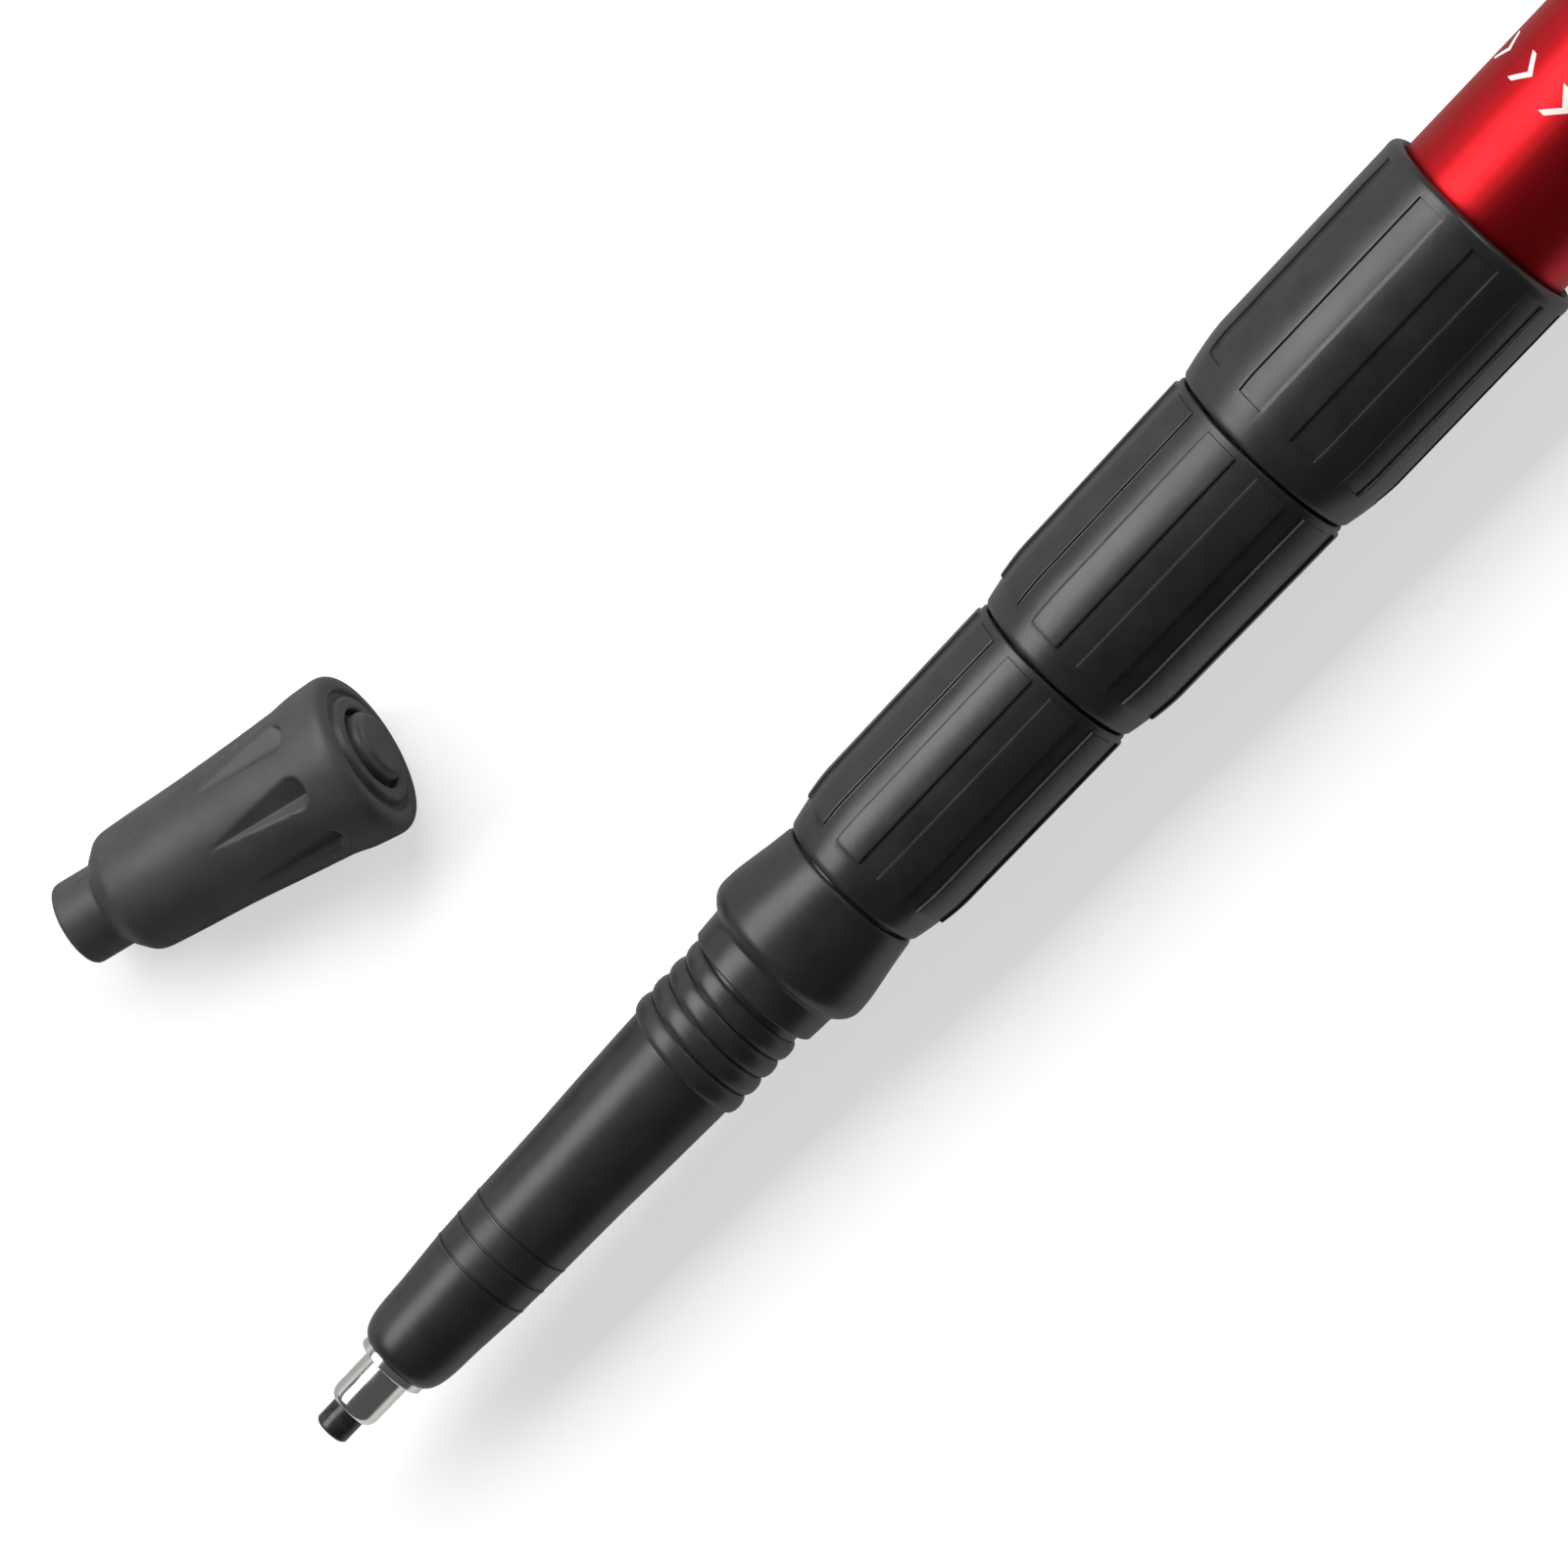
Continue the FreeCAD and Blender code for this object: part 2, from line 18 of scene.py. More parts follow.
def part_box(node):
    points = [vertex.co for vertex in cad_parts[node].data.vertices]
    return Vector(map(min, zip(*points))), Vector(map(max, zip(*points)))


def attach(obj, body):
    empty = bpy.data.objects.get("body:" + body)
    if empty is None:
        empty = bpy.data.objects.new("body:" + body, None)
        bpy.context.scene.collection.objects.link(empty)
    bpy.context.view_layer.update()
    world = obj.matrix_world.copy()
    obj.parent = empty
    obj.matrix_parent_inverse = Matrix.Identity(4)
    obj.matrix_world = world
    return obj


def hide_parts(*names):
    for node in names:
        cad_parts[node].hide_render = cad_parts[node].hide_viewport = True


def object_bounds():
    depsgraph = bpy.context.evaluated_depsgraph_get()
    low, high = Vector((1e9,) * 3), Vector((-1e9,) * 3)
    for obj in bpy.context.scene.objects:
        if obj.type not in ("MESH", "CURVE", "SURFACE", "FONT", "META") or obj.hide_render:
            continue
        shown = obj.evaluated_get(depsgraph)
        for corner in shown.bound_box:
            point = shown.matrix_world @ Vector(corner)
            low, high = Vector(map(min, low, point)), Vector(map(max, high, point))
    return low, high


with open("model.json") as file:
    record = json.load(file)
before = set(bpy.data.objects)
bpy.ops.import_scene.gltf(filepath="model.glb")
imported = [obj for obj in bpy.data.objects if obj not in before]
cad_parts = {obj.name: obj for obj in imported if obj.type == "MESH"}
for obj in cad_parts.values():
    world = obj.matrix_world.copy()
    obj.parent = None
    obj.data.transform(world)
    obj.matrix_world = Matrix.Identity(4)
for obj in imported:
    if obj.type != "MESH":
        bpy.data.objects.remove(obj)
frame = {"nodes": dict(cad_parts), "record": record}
cad_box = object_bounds()
record = frame["record"]

# %% [markdown]
# ## Camera
# The pole is seen from high above and from far away with a long lens, so its sides stay almost parallel. The camera
# is rolled, so that the pole climbs from the lower left corner to the upper right one. The view transform is Standard,
# because it keeps a plain bright floor white and the red as strong as it is.

# %% Camera
CAMERA_PLACE = (0.3066, -0.2451, 1.1516)
CAMERA_TURN = (1.14, 16.44, -45.14)
CAMERA_LENS = 262.55

camera_data = bpy.data.cameras.new("studio_camera")
camera_data.lens = CAMERA_LENS
camera_data.sensor_width = 36.0
camera_data.clip_end = 20.0
camera = bpy.data.objects.new("studio_camera", camera_data)
camera.location = CAMERA_PLACE
camera.rotation_euler = Euler([math.radians(a) for a in CAMERA_TURN])
bpy.context.scene.collection.objects.link(camera)
bpy.context.scene.camera = camera
bpy.context.scene.view_settings.view_transform = "Standard"
print("camera lens", CAMERA_LENS, "mm")

# %% [markdown]
# ## Light
# One long soft box stands high on the far side and makes a broad band of light along the far flank of the pole. The
# surround is weak, so the near flank stays dark. A low strip on the far side keeps the far edge of the metal
# bright, and a small box beyond the grip lights the faces that look that way.
# Area lamps are used because their edges are soft, as on a real soft box. They are hidden from the camera itself.

# %% Soft boxes
FLOOR_HEIGHT = cad_box[0][2]


def soft_box(name, place, target, size, watts):
    """A rectangular lamp at a place, facing a target, hidden from the camera itself."""
    lamp = bpy.data.lights.new(name, "AREA")
    lamp.shape = "RECTANGLE"
    lamp.size, lamp.size_y = size
    lamp.energy = watts
    box = bpy.data.objects.new(name, lamp)
    box.location = place
    box.rotation_euler = (Vector(target) - Vector(place)).to_track_quat("-Z", "X").to_euler()
    box.visible_camera = False
    bpy.context.scene.collection.objects.link(box)
    return box


soft_box("key_box", (0.18, 0.78, 1.04), (0.18, 0.0, 0.0), (0.74, 2.6), 31.0)
soft_box("low_far_strip", (0.18, 1.40, 0.24), (0.18, 0.0, 0.0), (0.5, 2.4), 2.2)
soft_box("end_box", (1.60, -0.10, 0.45), (0.10, 0.02, 0.0), (0.5, 0.5), 3.5)

world = bpy.data.worlds.new("studio")
bpy.context.scene.world = world
world.use_nodes = True
world.node_tree.nodes["Background"].inputs["Color"].default_value = (1.0, 1.0, 1.0, 1.0)
world.node_tree.nodes["Background"].inputs["Strength"].default_value = 0.09
print("lights: 3 soft boxes and a weak even surround")

# %% [markdown]
# ## Helpers for modelling
# Almost every piece is round, so one helper draws a ring across the pole and extrudes it from station to station,
# scaling the ring to each new radius, as a lathe would cut it. Everything is deselected first, because an edit acts on
# all that is selected. Distances are written in millimetres and turned into metres once.

# %% Helpers
MM = 0.001


def nothing_selected():
    """Leave edit mode and deselect everything."""
    if bpy.context.object and bpy.context.object.mode != "OBJECT":
        bpy.ops.object.mode_set(mode="OBJECT")
    bpy.ops.object.select_all(action="DESELECT")


def only(piece):
    """Select one piece and make it the active one."""
    nothing_selected()
    piece.select_set(True)
    bpy.context.view_layer.objects.active = piece


def smooth_run(points, steps):
    """Points of a smooth curve through the given ones."""
    run = []
    for i in range(len(points) - 1):
        a = Vector(points[max(i - 1, 0)])
        b = Vector(points[i])
        c = Vector(points[i + 1])
        d = Vector(points[min(i + 2, len(points) - 1)])
        for step in range(steps):
            t = step / steps
            p = 0.5 * (2 * b + (c - a) * t + (2 * a - 5 * b + 4 * c - d) * t * t + (3 * b - a - 3 * c + d) * t ** 3)
            run.append(tuple(p))
    run.append(tuple(points[-1]))
    return run


def lathe(name, stations, segments=128, turn=0.0):
    """Extrude a ring along (distance, radius) stations in millimetres. Open ends are filled."""
    nothing_selected()
    x, r = stations[0]
    bpy.ops.mesh.primitive_circle_add(vertices=segments, radius=r * MM, location=(x * MM, 0, 0),
                                      rotation=(math.pi / 2, -math.radians(turn), math.pi / 2))
    piece = bpy.context.object
    piece.name = name
    bpy.ops.object.transform_apply(location=True, rotation=True, scale=True)
    bpy.ops.object.mode_set(mode="EDIT")
    bpy.ops.mesh.select_all(action="SELECT")
    for (x0, r0), (x1, r1) in zip(stations, stations[1:]):
        bpy.ops.mesh.extrude_region_move(TRANSFORM_OT_translate={"value": ((x1 - x0) * MM, 0, 0)})
        bpy.ops.transform.resize(value=(1, r1 / r0, r1 / r0), center_override=(x1 * MM, 0, 0))
    bpy.ops.mesh.select_all(action="SELECT")
    bpy.ops.mesh.remove_doubles(threshold=1e-7)
    bpy.ops.mesh.fill_holes(sides=0)
    bpy.ops.mesh.select_all(action="SELECT")
    bpy.ops.mesh.normals_make_consistent(inside=False)
    bpy.ops.object.mode_set(mode="OBJECT")
    return piece


def soften(piece, width, segments=2, sharpness=28.0, low=None, high=None):
    """Bevel the sharp edges of a piece, all of them or those between two distances along X."""
    only(piece)
    bpy.ops.object.mode_set(mode="EDIT")
    bpy.ops.mesh.select_mode(type="EDGE")
    bpy.ops.mesh.select_all(action="DESELECT")
    bpy.ops.mesh.edges_select_sharp(sharpness=math.radians(sharpness))
    if low is not None:
        mesh = bmesh.from_edit_mesh(piece.data)
        for edge in mesh.edges:
            middle = (edge.verts[0].co.x + edge.verts[1].co.x) / 2
            if edge.select and not low * MM <= middle <= high * MM:
                edge.select = False
        bmesh.update_edit_mesh(piece.data)
    bpy.ops.mesh.bevel(offset=width * MM, segments=segments, affect="EDGES", clamp_overlap=True)
    bpy.ops.mesh.select_mode(type="VERT")
    bpy.ops.object.mode_set(mode="OBJECT")


def smooth_shading(piece, angle=38.0):
    """Shade a piece smoothly, but keep creases sharper than an angle."""
    only(piece)
    bpy.ops.object.shade_smooth_by_angle(angle=math.radians(angle))


def hand_over(piece, node, material):
    """Give a finished piece its material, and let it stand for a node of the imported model."""
    piece.data.materials.clear()
    piece.data.materials.append(material)
    body = next(name for name, nodes in record["behaviour"]["bodies"].items() if node in nodes)
    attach(piece, body)
    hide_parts(node)
    print(piece.name, "for", node, "on", body, len(piece.data.polygons), "faces")


def subtract(piece, cutter, operation="DIFFERENCE"):
    """Cut one mesh out of another, then throw the cutter away."""
    only(piece)
    cut = piece.modifiers.new("cut", "BOOLEAN")
    cut.operation = operation
    cut.solver = "EXACT"
    cut.object = cutter
    bpy.ops.object.modifier_apply(modifier="cut")
    bpy.data.objects.remove(cutter)


# %% [markdown]
# ## Shared effects for the finishes
# Real surfaces are never one flat colour. Four small node groups give what several finishes need: a fine grain of
# height and tone, slow changes of roughness from handling, wear that follows raised edges, and woven threads.
# They are made once and used in each material with its own numbers. Short helpers come first, because a node tree built
# in code is much easier to read when each node is one call.

# %% Node group helpers


def new_group(name, inputs, outputs):
    """An empty shader node group with named inputs (with defaults) and outputs."""
    group = bpy.data.node_groups.new(name, "ShaderNodeTree")
    for label, default in inputs:
        kind = "NodeSocketVector" if default is None else "NodeSocketFloat"
        socket = group.interface.new_socket(label, in_out="INPUT", socket_type=kind)
        if default is not None:
            socket.default_value = default
    for label in outputs:
        group.interface.new_socket(label, in_out="OUTPUT", socket_type="NodeSocketFloat")
    return group, group.nodes.new("NodeGroupInput"), group.nodes.new("NodeGroupOutput")


def calc(tree, operation, a, b=None, c=None):
    """One Math node. Each operand is a number or a socket."""
    node = tree.nodes.new("ShaderNodeMath")
    node.operation = operation
    for index, value in enumerate((a, b, c)):
        if value is None:
            continue
        if isinstance(value, (int, float)):
            node.inputs[index].default_value = value
        else:
            tree.links.new(value, node.inputs[index])
    return node.outputs[0]


def remap(tree, value, from_low, from_high, to_low, to_high, smooth=False):
    """Stretch a value from one range to another, clamped."""
    node = tree.nodes.new("ShaderNodeMapRange")
    node.interpolation_type = "SMOOTHSTEP" if smooth else "LINEAR"
    tree.links.new(value, node.inputs["Value"])
    for label, number in (("From Min", from_low), ("From Max", from_high), ("To Min", to_low), ("To Max", to_high)):
        if isinstance(number, (int, float)):
            node.inputs[label].default_value = number
        else:
            tree.links.new(number, node.inputs[label])
    return node.outputs["Result"]


def noise(tree, vector, scale, detail=4.0, rough=0.55):
    """A Noise Texture node's value. The scale is a number or a socket."""
    node = tree.nodes.new("ShaderNodeTexNoise")
    node.inputs["Detail"].default_value = detail
    node.inputs["Roughness"].default_value = rough
    if isinstance(scale, (int, float)):
        node.inputs["Scale"].default_value = scale
    else:
        tree.links.new(scale, node.inputs["Scale"])
    tree.links.new(vector, node.inputs["Vector"])
    return node.outputs["Fac"]


# %% [markdown]
# ### Grain, handling and wear
# Moulded polymer and rubber copy the fine spark-eroded grain of their mould, so two noises are added, a fine one and a
# coarse one. Handling polishes some patches more than others, so a slow noise moves the roughness between two ends.
# Wear shows first on raised edges. The edges could be painted by hand, but the pointiness of the mesh finds them all,
# and a noise breaks them up.

# %% Grain, handling and edge wear groups
grain_group, grain_in, grain_out = new_group(
    "fine grain", [("Scale", 900.0), ("Coarse share", 0.35)], ["Height", "Tone"])
place = grain_group.nodes.new("ShaderNodeTexCoord").outputs["Object"]
fine = noise(grain_group, place, grain_in.outputs["Scale"], 3.0, 0.6)
coarse_scale = calc(grain_group, "MULTIPLY", grain_in.outputs["Scale"], 0.18)
coarse = noise(grain_group, place, coarse_scale, 4.0, 0.5)
share = calc(grain_group, "MULTIPLY", coarse, grain_in.outputs["Coarse share"])
grain_group.links.new(calc(grain_group, "ADD", fine, share), grain_out.inputs["Height"])
grain_group.links.new(remap(grain_group, coarse, 0.32, 0.68, 0.0, 1.0), grain_out.inputs["Tone"])

handling_group, handling_in, handling_out = new_group(
    "handling marks", [("Scale", 60.0), ("Lowest", 0.3), ("Highest", 0.5)], ["Roughness", "Mask"])
place = handling_group.nodes.new("ShaderNodeTexCoord").outputs["Object"]
cloud = noise(handling_group, place, handling_in.outputs["Scale"], 6.0, 0.62)
handling_group.links.new(
    remap(handling_group, cloud, 0.3, 0.7, handling_in.outputs["Lowest"], handling_in.outputs["Highest"]),
    handling_out.inputs["Roughness"])
handling_group.links.new(remap(handling_group, cloud, 0.5, 0.68, 0.0, 1.0), handling_out.inputs["Mask"])

wear_group, wear_in, wear_out = new_group("edge wear", [("Scale", 300.0), ("Amount", 0.5)], ["Mask"])
place = wear_group.nodes.new("ShaderNodeTexCoord").outputs["Object"]
ridge = remap(wear_group, wear_group.nodes.new("ShaderNodeNewGeometry").outputs["Pointiness"], 0.508, 0.56, 0.0, 1.0)
broken = remap(wear_group, noise(wear_group, place, wear_in.outputs["Scale"], 5.0, 0.7), 0.35, 0.62, 0.0, 1.0)
worn = calc(wear_group, "MULTIPLY", ridge, broken)
wear_group.links.new(calc(wear_group, "MULTIPLY", worn, wear_in.outputs["Amount"]), wear_out.inputs["Mask"])
print("node groups:", grain_group.name, handling_group.name, wear_group.name)

# %% [markdown]
# ### From groups to materials
# Most finishes differ only in their numbers, so one function wires the groups to the shader. What is the same all over
# a surface, such as how metallic it is, is set on the shader's own socket.

# %% Material helpers


def place_group(tree, group, **values):
    """Put a node group in a material and set its inputs by name."""
    node = tree.nodes.new("ShaderNodeGroup")
    node.node_tree = group
    for label, value in values.items():
        node.inputs[label.replace("_", " ")].default_value = value
    return node


def mix_colour(tree, factor, first, second):
    """Mix two colours by a factor socket. Each colour is a tuple or a socket."""
    node = tree.nodes.new("ShaderNodeMix")
    node.data_type = "RGBA"
    tree.links.new(factor, node.inputs["Factor"])
    for socket, colour in ((node.inputs[6], first), (node.inputs[7], second)):
        if isinstance(colour, tuple):
            socket.default_value = (*colour, 1.0)
        else:
            tree.links.new(colour, socket)
    return node.outputs[2]


def bump(tree, height, strength, distance):
    """Turn a height into a normal."""
    node = tree.nodes.new("ShaderNodeBump")
    node.inputs["Strength"].default_value = strength
    node.inputs["Distance"].default_value = distance
    tree.links.new(height, node.inputs["Height"])
    return node.outputs["Normal"]


def finish(name, base, shade, rough, grain=900.0, depth=0.02, wear=0.0, worn=(0.3, 0.3, 0.3), marks=60.0, **sockets):
    """A material with grain, roughness that varies from handling, and worn edges."""
    material = bpy.data.materials.new(name)
    material.use_nodes = True
    tree = material.node_tree
    shader = tree.nodes["Principled BSDF"]
    for label, value in sockets.items():
        shader.inputs[label.replace("_", " ")].default_value = value
    texture = place_group(tree, grain_group, Scale=grain)
    touch = place_group(tree, handling_group, Scale=marks, Lowest=rough[0], Highest=rough[1])
    colour = mix_colour(tree, texture.outputs["Tone"], base, shade)
    if wear:
        rubbed = place_group(tree, wear_group, Scale=grain * 0.4, Amount=wear)
        colour = mix_colour(tree, rubbed.outputs["Mask"], colour, worn)
    tree.links.new(colour, shader.inputs["Base Color"])
    tree.links.new(touch.outputs["Roughness"], shader.inputs["Roughness"])
    tree.links.new(bump(tree, texture.outputs["Height"], 0.35, depth * MM), shader.inputs["Normal"])
    return material


# %% [markdown]
# ## Plain finishes
# The collars and the tip are moulded polymer with a fine spark-eroded grain, charcoal and black. The foot is rubber, a
# little lighter and rougher. The ferrule is polished plating, and the point is sintered hard metal, dark and dull.

# %% Polymer, rubber and metal
collar_finish = finish("charcoal moulded polymer", (0.015, 0.0155, 0.015), (0.023, 0.024, 0.0225), (0.29, 0.40),
                       grain=1500.0, depth=0.03, wear=0.1, worn=(0.06, 0.06, 0.058), Specular_IOR_Level=0.55)
tip_finish = finish("black moulded polymer", (0.017, 0.017, 0.0175), (0.026, 0.026, 0.0265), (0.30, 0.42),
                    grain=1300.0, depth=0.02, wear=0.3, worn=(0.06, 0.06, 0.06), Specular_IOR_Level=0.5)
foot_finish = finish("charcoal rubber", (0.042, 0.042, 0.041), (0.056, 0.056, 0.054), (0.42, 0.56),
                     grain=1100.0, depth=0.03, wear=0.25, worn=(0.13, 0.13, 0.125), marks=90.0, Specular_IOR_Level=0.4)
grip_finish = finish("soft grip rubber", (0.020, 0.020, 0.021), (0.030, 0.030, 0.031), (0.55, 0.72),
                     grain=1400.0, depth=0.03, wear=0.3, worn=(0.07, 0.07, 0.07), Specular_IOR_Level=0.35)
head_finish = finish("grip head polymer", (0.014, 0.014, 0.015), (0.022, 0.022, 0.023), (0.32, 0.46),
                     grain=1200.0, depth=0.02, wear=0.35, worn=(0.08, 0.08, 0.08))
wedge_finish = finish("grey wedge polymer", (0.10, 0.10, 0.105), (0.13, 0.13, 0.135), (0.35, 0.5), grain=1200.0)
plated_finish = finish("polished plating", (0.86, 0.85, 0.83), (0.80, 0.79, 0.76), (0.10, 0.20), grain=700.0,
                       depth=0.004, marks=220.0, Metallic=1.0)
carbide_finish = finish("sintered hard metal", (0.018, 0.018, 0.020), (0.035, 0.035, 0.038), (0.22, 0.38), grain=2600.0,
                        depth=0.03, wear=0.5, worn=(0.16, 0.16, 0.17), Metallic=0.5)
steel_finish = finish("plain steel", (0.52, 0.52, 0.54), (0.44, 0.44, 0.46), (0.22, 0.38), grain=900.0, Metallic=1.0)
nylon_finish = finish("natural nylon", (0.66, 0.65, 0.60), (0.60, 0.59, 0.54), (0.40, 0.55), grain=900.0)
insert_finish = finish("black lock polymer", (0.030, 0.030, 0.032), (0.045, 0.045, 0.047), (0.40, 0.55), grain=900.0)
print("plain finishes made")

# %% [markdown]
# ## Anodised tubes
# Anodised aluminium is metal under a thin dyed layer. Drawing the tube leaves very fine lines along it, so the grain is
# stretched along X, and the roughness changes a little in streaks. The red tube also has a row of small white printed
# arrowheads that show which way to twist the collar. They are worked out from the angle round the tube.

# %% Anodised metal


def anodised(name, base, shade, rough):
    """Dyed or natural anodised aluminium with drawing lines along the tube."""
    material = bpy.data.materials.new(name)
    material.use_nodes = True
    tree = material.node_tree
    shader = tree.nodes["Principled BSDF"]
    shader.inputs["Metallic"].default_value = 1.0
    place = tree.nodes.new("ShaderNodeTexCoord").outputs["Object"]
    stretch = tree.nodes.new("ShaderNodeMapping")
    stretch.inputs["Scale"].default_value = (0.02, 1.0, 1.0)
    tree.links.new(place, stretch.inputs["Vector"])
    lines = noise(tree, stretch.outputs["Vector"], 2600.0, 3.0, 0.6)
    touch = place_group(tree, handling_group, Scale=45.0, Lowest=rough[0], Highest=rough[1])
    streaks = remap(tree, lines, 0.3, 0.7, -0.03, 0.03)
    tone = remap(tree, noise(tree, stretch.outputs["Vector"], 700.0, 3.0), 0.3, 0.7, 0.0, 1.0)
    tree.links.new(mix_colour(tree, tone, base, shade), shader.inputs["Base Color"])
    tree.links.new(calc(tree, "ADD", touch.outputs["Roughness"], streaks), shader.inputs["Roughness"])
    tree.links.new(bump(tree, lines, 0.12, 0.01 * MM), shader.inputs["Normal"])
    return material


ARROW_PLACE = 193.0
ARROW_SPACING = 30.0

red_finish = anodised("red anodised aluminium", (0.60, 0.018, 0.024), (0.53, 0.014, 0.019), (0.38, 0.46))
silver_finish = anodised("natural anodised aluminium", (0.62, 0.63, 0.65), (0.55, 0.56, 0.58), (0.24, 0.36))

tree = red_finish.node_tree
shader = tree.nodes["Principled BSDF"]
axes = tree.nodes.new("ShaderNodeSeparateXYZ")
tree.links.new(tree.nodes.new("ShaderNodeTexCoord").outputs["Object"], axes.inputs["Vector"])
angle = calc(tree, "MULTIPLY", calc(tree, "ARCTAN2", axes.outputs["Z"], axes.outputs["Y"]), 180 / math.pi)
turned = calc(tree, "WRAP", angle, ARROW_SPACING / 2, -ARROW_SPACING / 2)
across = calc(tree, "MULTIPLY", calc(tree, "SUBTRACT", axes.outputs["X"], ARROW_PLACE * MM), 1 / MM)
lean = calc(tree, "ABSOLUTE", across)
shift = calc(tree, "ADD", calc(tree, "MULTIPLY", turned, 0.192), calc(tree, "MULTIPLY", lean, 0.9))
stroke = calc(tree, "LESS_THAN", calc(tree, "ABSOLUTE", calc(tree, "SUBTRACT", shift, 0.6)), 0.42)
mark = calc(tree, "MULTIPLY", stroke, calc(tree, "LESS_THAN", lean, 1.9))
plain_colour = shader.inputs["Base Color"].links[0].from_socket
plain_rough = shader.inputs["Roughness"].links[0].from_socket
tree.links.new(mix_colour(tree, mark, plain_colour, (0.86, 0.85, 0.80)), shader.inputs["Base Color"])
tree.links.new(calc(tree, "MAXIMUM", plain_rough, calc(tree, "MULTIPLY", mark, 0.5)), shader.inputs["Roughness"])
tree.links.new(calc(tree, "SUBTRACT", 1.0, mark), shader.inputs["Metallic"])
print("anodised finishes made, with printed arrowheads every", ARROW_SPACING, "degrees")

# %% [markdown]
# ## Tubes
# Each tube is a lathe shape: out along the outer wall, over the rounded end, and back along the bore. The ring that
# comes back to its start is merged with it, so the wall is closed.

# %% Tubes


def tube(node, material, wall=0.8, segments=160):
    """A plain tube over the whole box of a node."""
    low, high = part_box(node)
    start, end, outer = low[0] / MM, high[0] / MM, high[2] / MM
    inner = outer - wall
    stations = [(start, outer), ((start + end) / 2, outer), (end, outer), (end, inner), (start, inner), (start, outer)]
    piece = lathe(node + "_wall", stations, segments)
    soften(piece, 0.18)
    smooth_shading(piece)
    hand_over(piece, node, material)


tube("upper_tube", red_finish)
tube("second_tube", silver_finish)
tube("third_tube", silver_finish)

# %% [markdown]
# ## Twist collars
# A collar is a sleeve with a narrow lip, a rounded shoulder and a slightly tapered body. Ten low rectangular pads stand
# on it for the fingers, wider on the two lower collars. The sleeve is turned first, with its ring divided so that pad
# edges fall on vertices. The faces of the pads are then selected by their angle and extruded outward, and their sharp
# edges get a narrow bevel.

# %% Collars
SHOULDER = 7.0
PAD_COUNT = 10
PAD_HEIGHT = 0.3
RING_SEGMENTS = 240


def collar(node, lip, low_r, high_r, guide, bore, pad_start, pad_angle, turn, mouth=False, rim_round=0.35,
           pad_margin=0.95):
    """One ribbed collar over the box of its node. Sizes in millimetres, the turn of its pads in degrees."""
    box_low, box_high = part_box(node)
    start, end = box_low[0] / MM, box_high[0] / MM

    def skin(x):
        """The body's radius under the pads."""
        if x < start + SHOULDER:
            return lip + (low_r - lip) * (1 - (1 - (x - start) / SHOULDER) ** 1.5)
        return low_r + (high_r - low_r) * (x - start - SHOULDER) / (end - start - SHOULDER)

    pad_low, pad_high = start + pad_start, end - pad_margin
    distances = [start + 0.3, start + 0.9, start + 1.6, start + 2.4, pad_low]
    distances += [pad_low + (start + SHOULDER - pad_low) * i / 5 for i in range(1, 6)]
    distances += [start + SHOULDER + (pad_high - start - SHOULDER) * i / 4 for i in range(1, 5)]
    stations = [(start, lip - 0.3), (start + 0.06, lip - 0.12)]
    stations += [(x, skin(x)) for x in sorted(set(distances))]
    rim = skin(end)
    for degrees in (0, 18, 36, 54, 72, 90):
        a = math.radians(degrees)
        stations.append((end - rim_round * (1 - math.sin(a)), rim - rim_round * (1 - math.cos(a))))
    if mouth:
        stations += [(end, bore + 0.75), (end - 0.15, bore + 0.62), (end - 0.7, bore + 0.35), (end - 4, bore + 0.35)]
    stations += [(end - 4, bore + 0.02), (start + 6.4, bore + 0.02), (start + 6.4, guide), (start, guide), stations[0]]
    piece = lathe(node + "_sleeve", stations, RING_SEGMENTS, turn)

    bpy.ops.object.mode_set(mode="EDIT")
    bpy.ops.mesh.select_mode(type="FACE")
    bpy.ops.mesh.select_all(action="DESELECT")
    mesh = bmesh.from_edit_mesh(piece.data)
    for face in mesh.faces:
        centre = face.calc_center_median()
        angle = math.degrees(math.atan2(centre.z, centre.y)) - turn
        outside = math.hypot(centre.y, centre.z) / MM > lip - 0.2
        face.select = outside and angle % (360 / PAD_COUNT) < pad_angle and pad_low < centre.x / MM < pad_high
    bmesh.update_edit_mesh(piece.data)
    bpy.ops.mesh.extrude_region_shrink_fatten(TRANSFORM_OT_shrink_fatten={"value": PAD_HEIGHT * MM})
    bpy.ops.object.mode_set(mode="OBJECT")
    soften(piece, 0.07, 2, 40.0, pad_low - 0.2, pad_high + 0.2)
    smooth_shading(piece)
    hand_over(piece, node, collar_finish)
    return piece


collar("upper_collar", lip=11.44, low_r=12.52, high_r=12.65, guide=9.85, bore=11.0, pad_start=4.1, pad_angle=16.5,
       turn=35.5, mouth=True, rim_round=1.0, pad_margin=1.7)
collar("second_collar", lip=10.1, low_r=11.1, high_r=11.38, guide=8.6, bore=9.75, pad_start=3.2, pad_angle=21.5,
       turn=37.3)
collar("third_collar", lip=8.75, low_r=9.85, high_r=10.0, guide=7.35, bore=8.5, pad_start=3.6, pad_angle=21.5,
       turn=39.7)

# %% [markdown]
# ## Tip moulding and its thread
# The tip tapers from a flared cup to a rounded end, with three fine scored lines. The basket thread is one ridge wound
# four times round. It could be drawn with rings, but a real thread climbs, so a small oval is swept along a helix by
# the Screw modifier. This one climbs the left-handed way and starts underneath. Its ends are sunk into the moulding,
# and the two are joined into one solid.

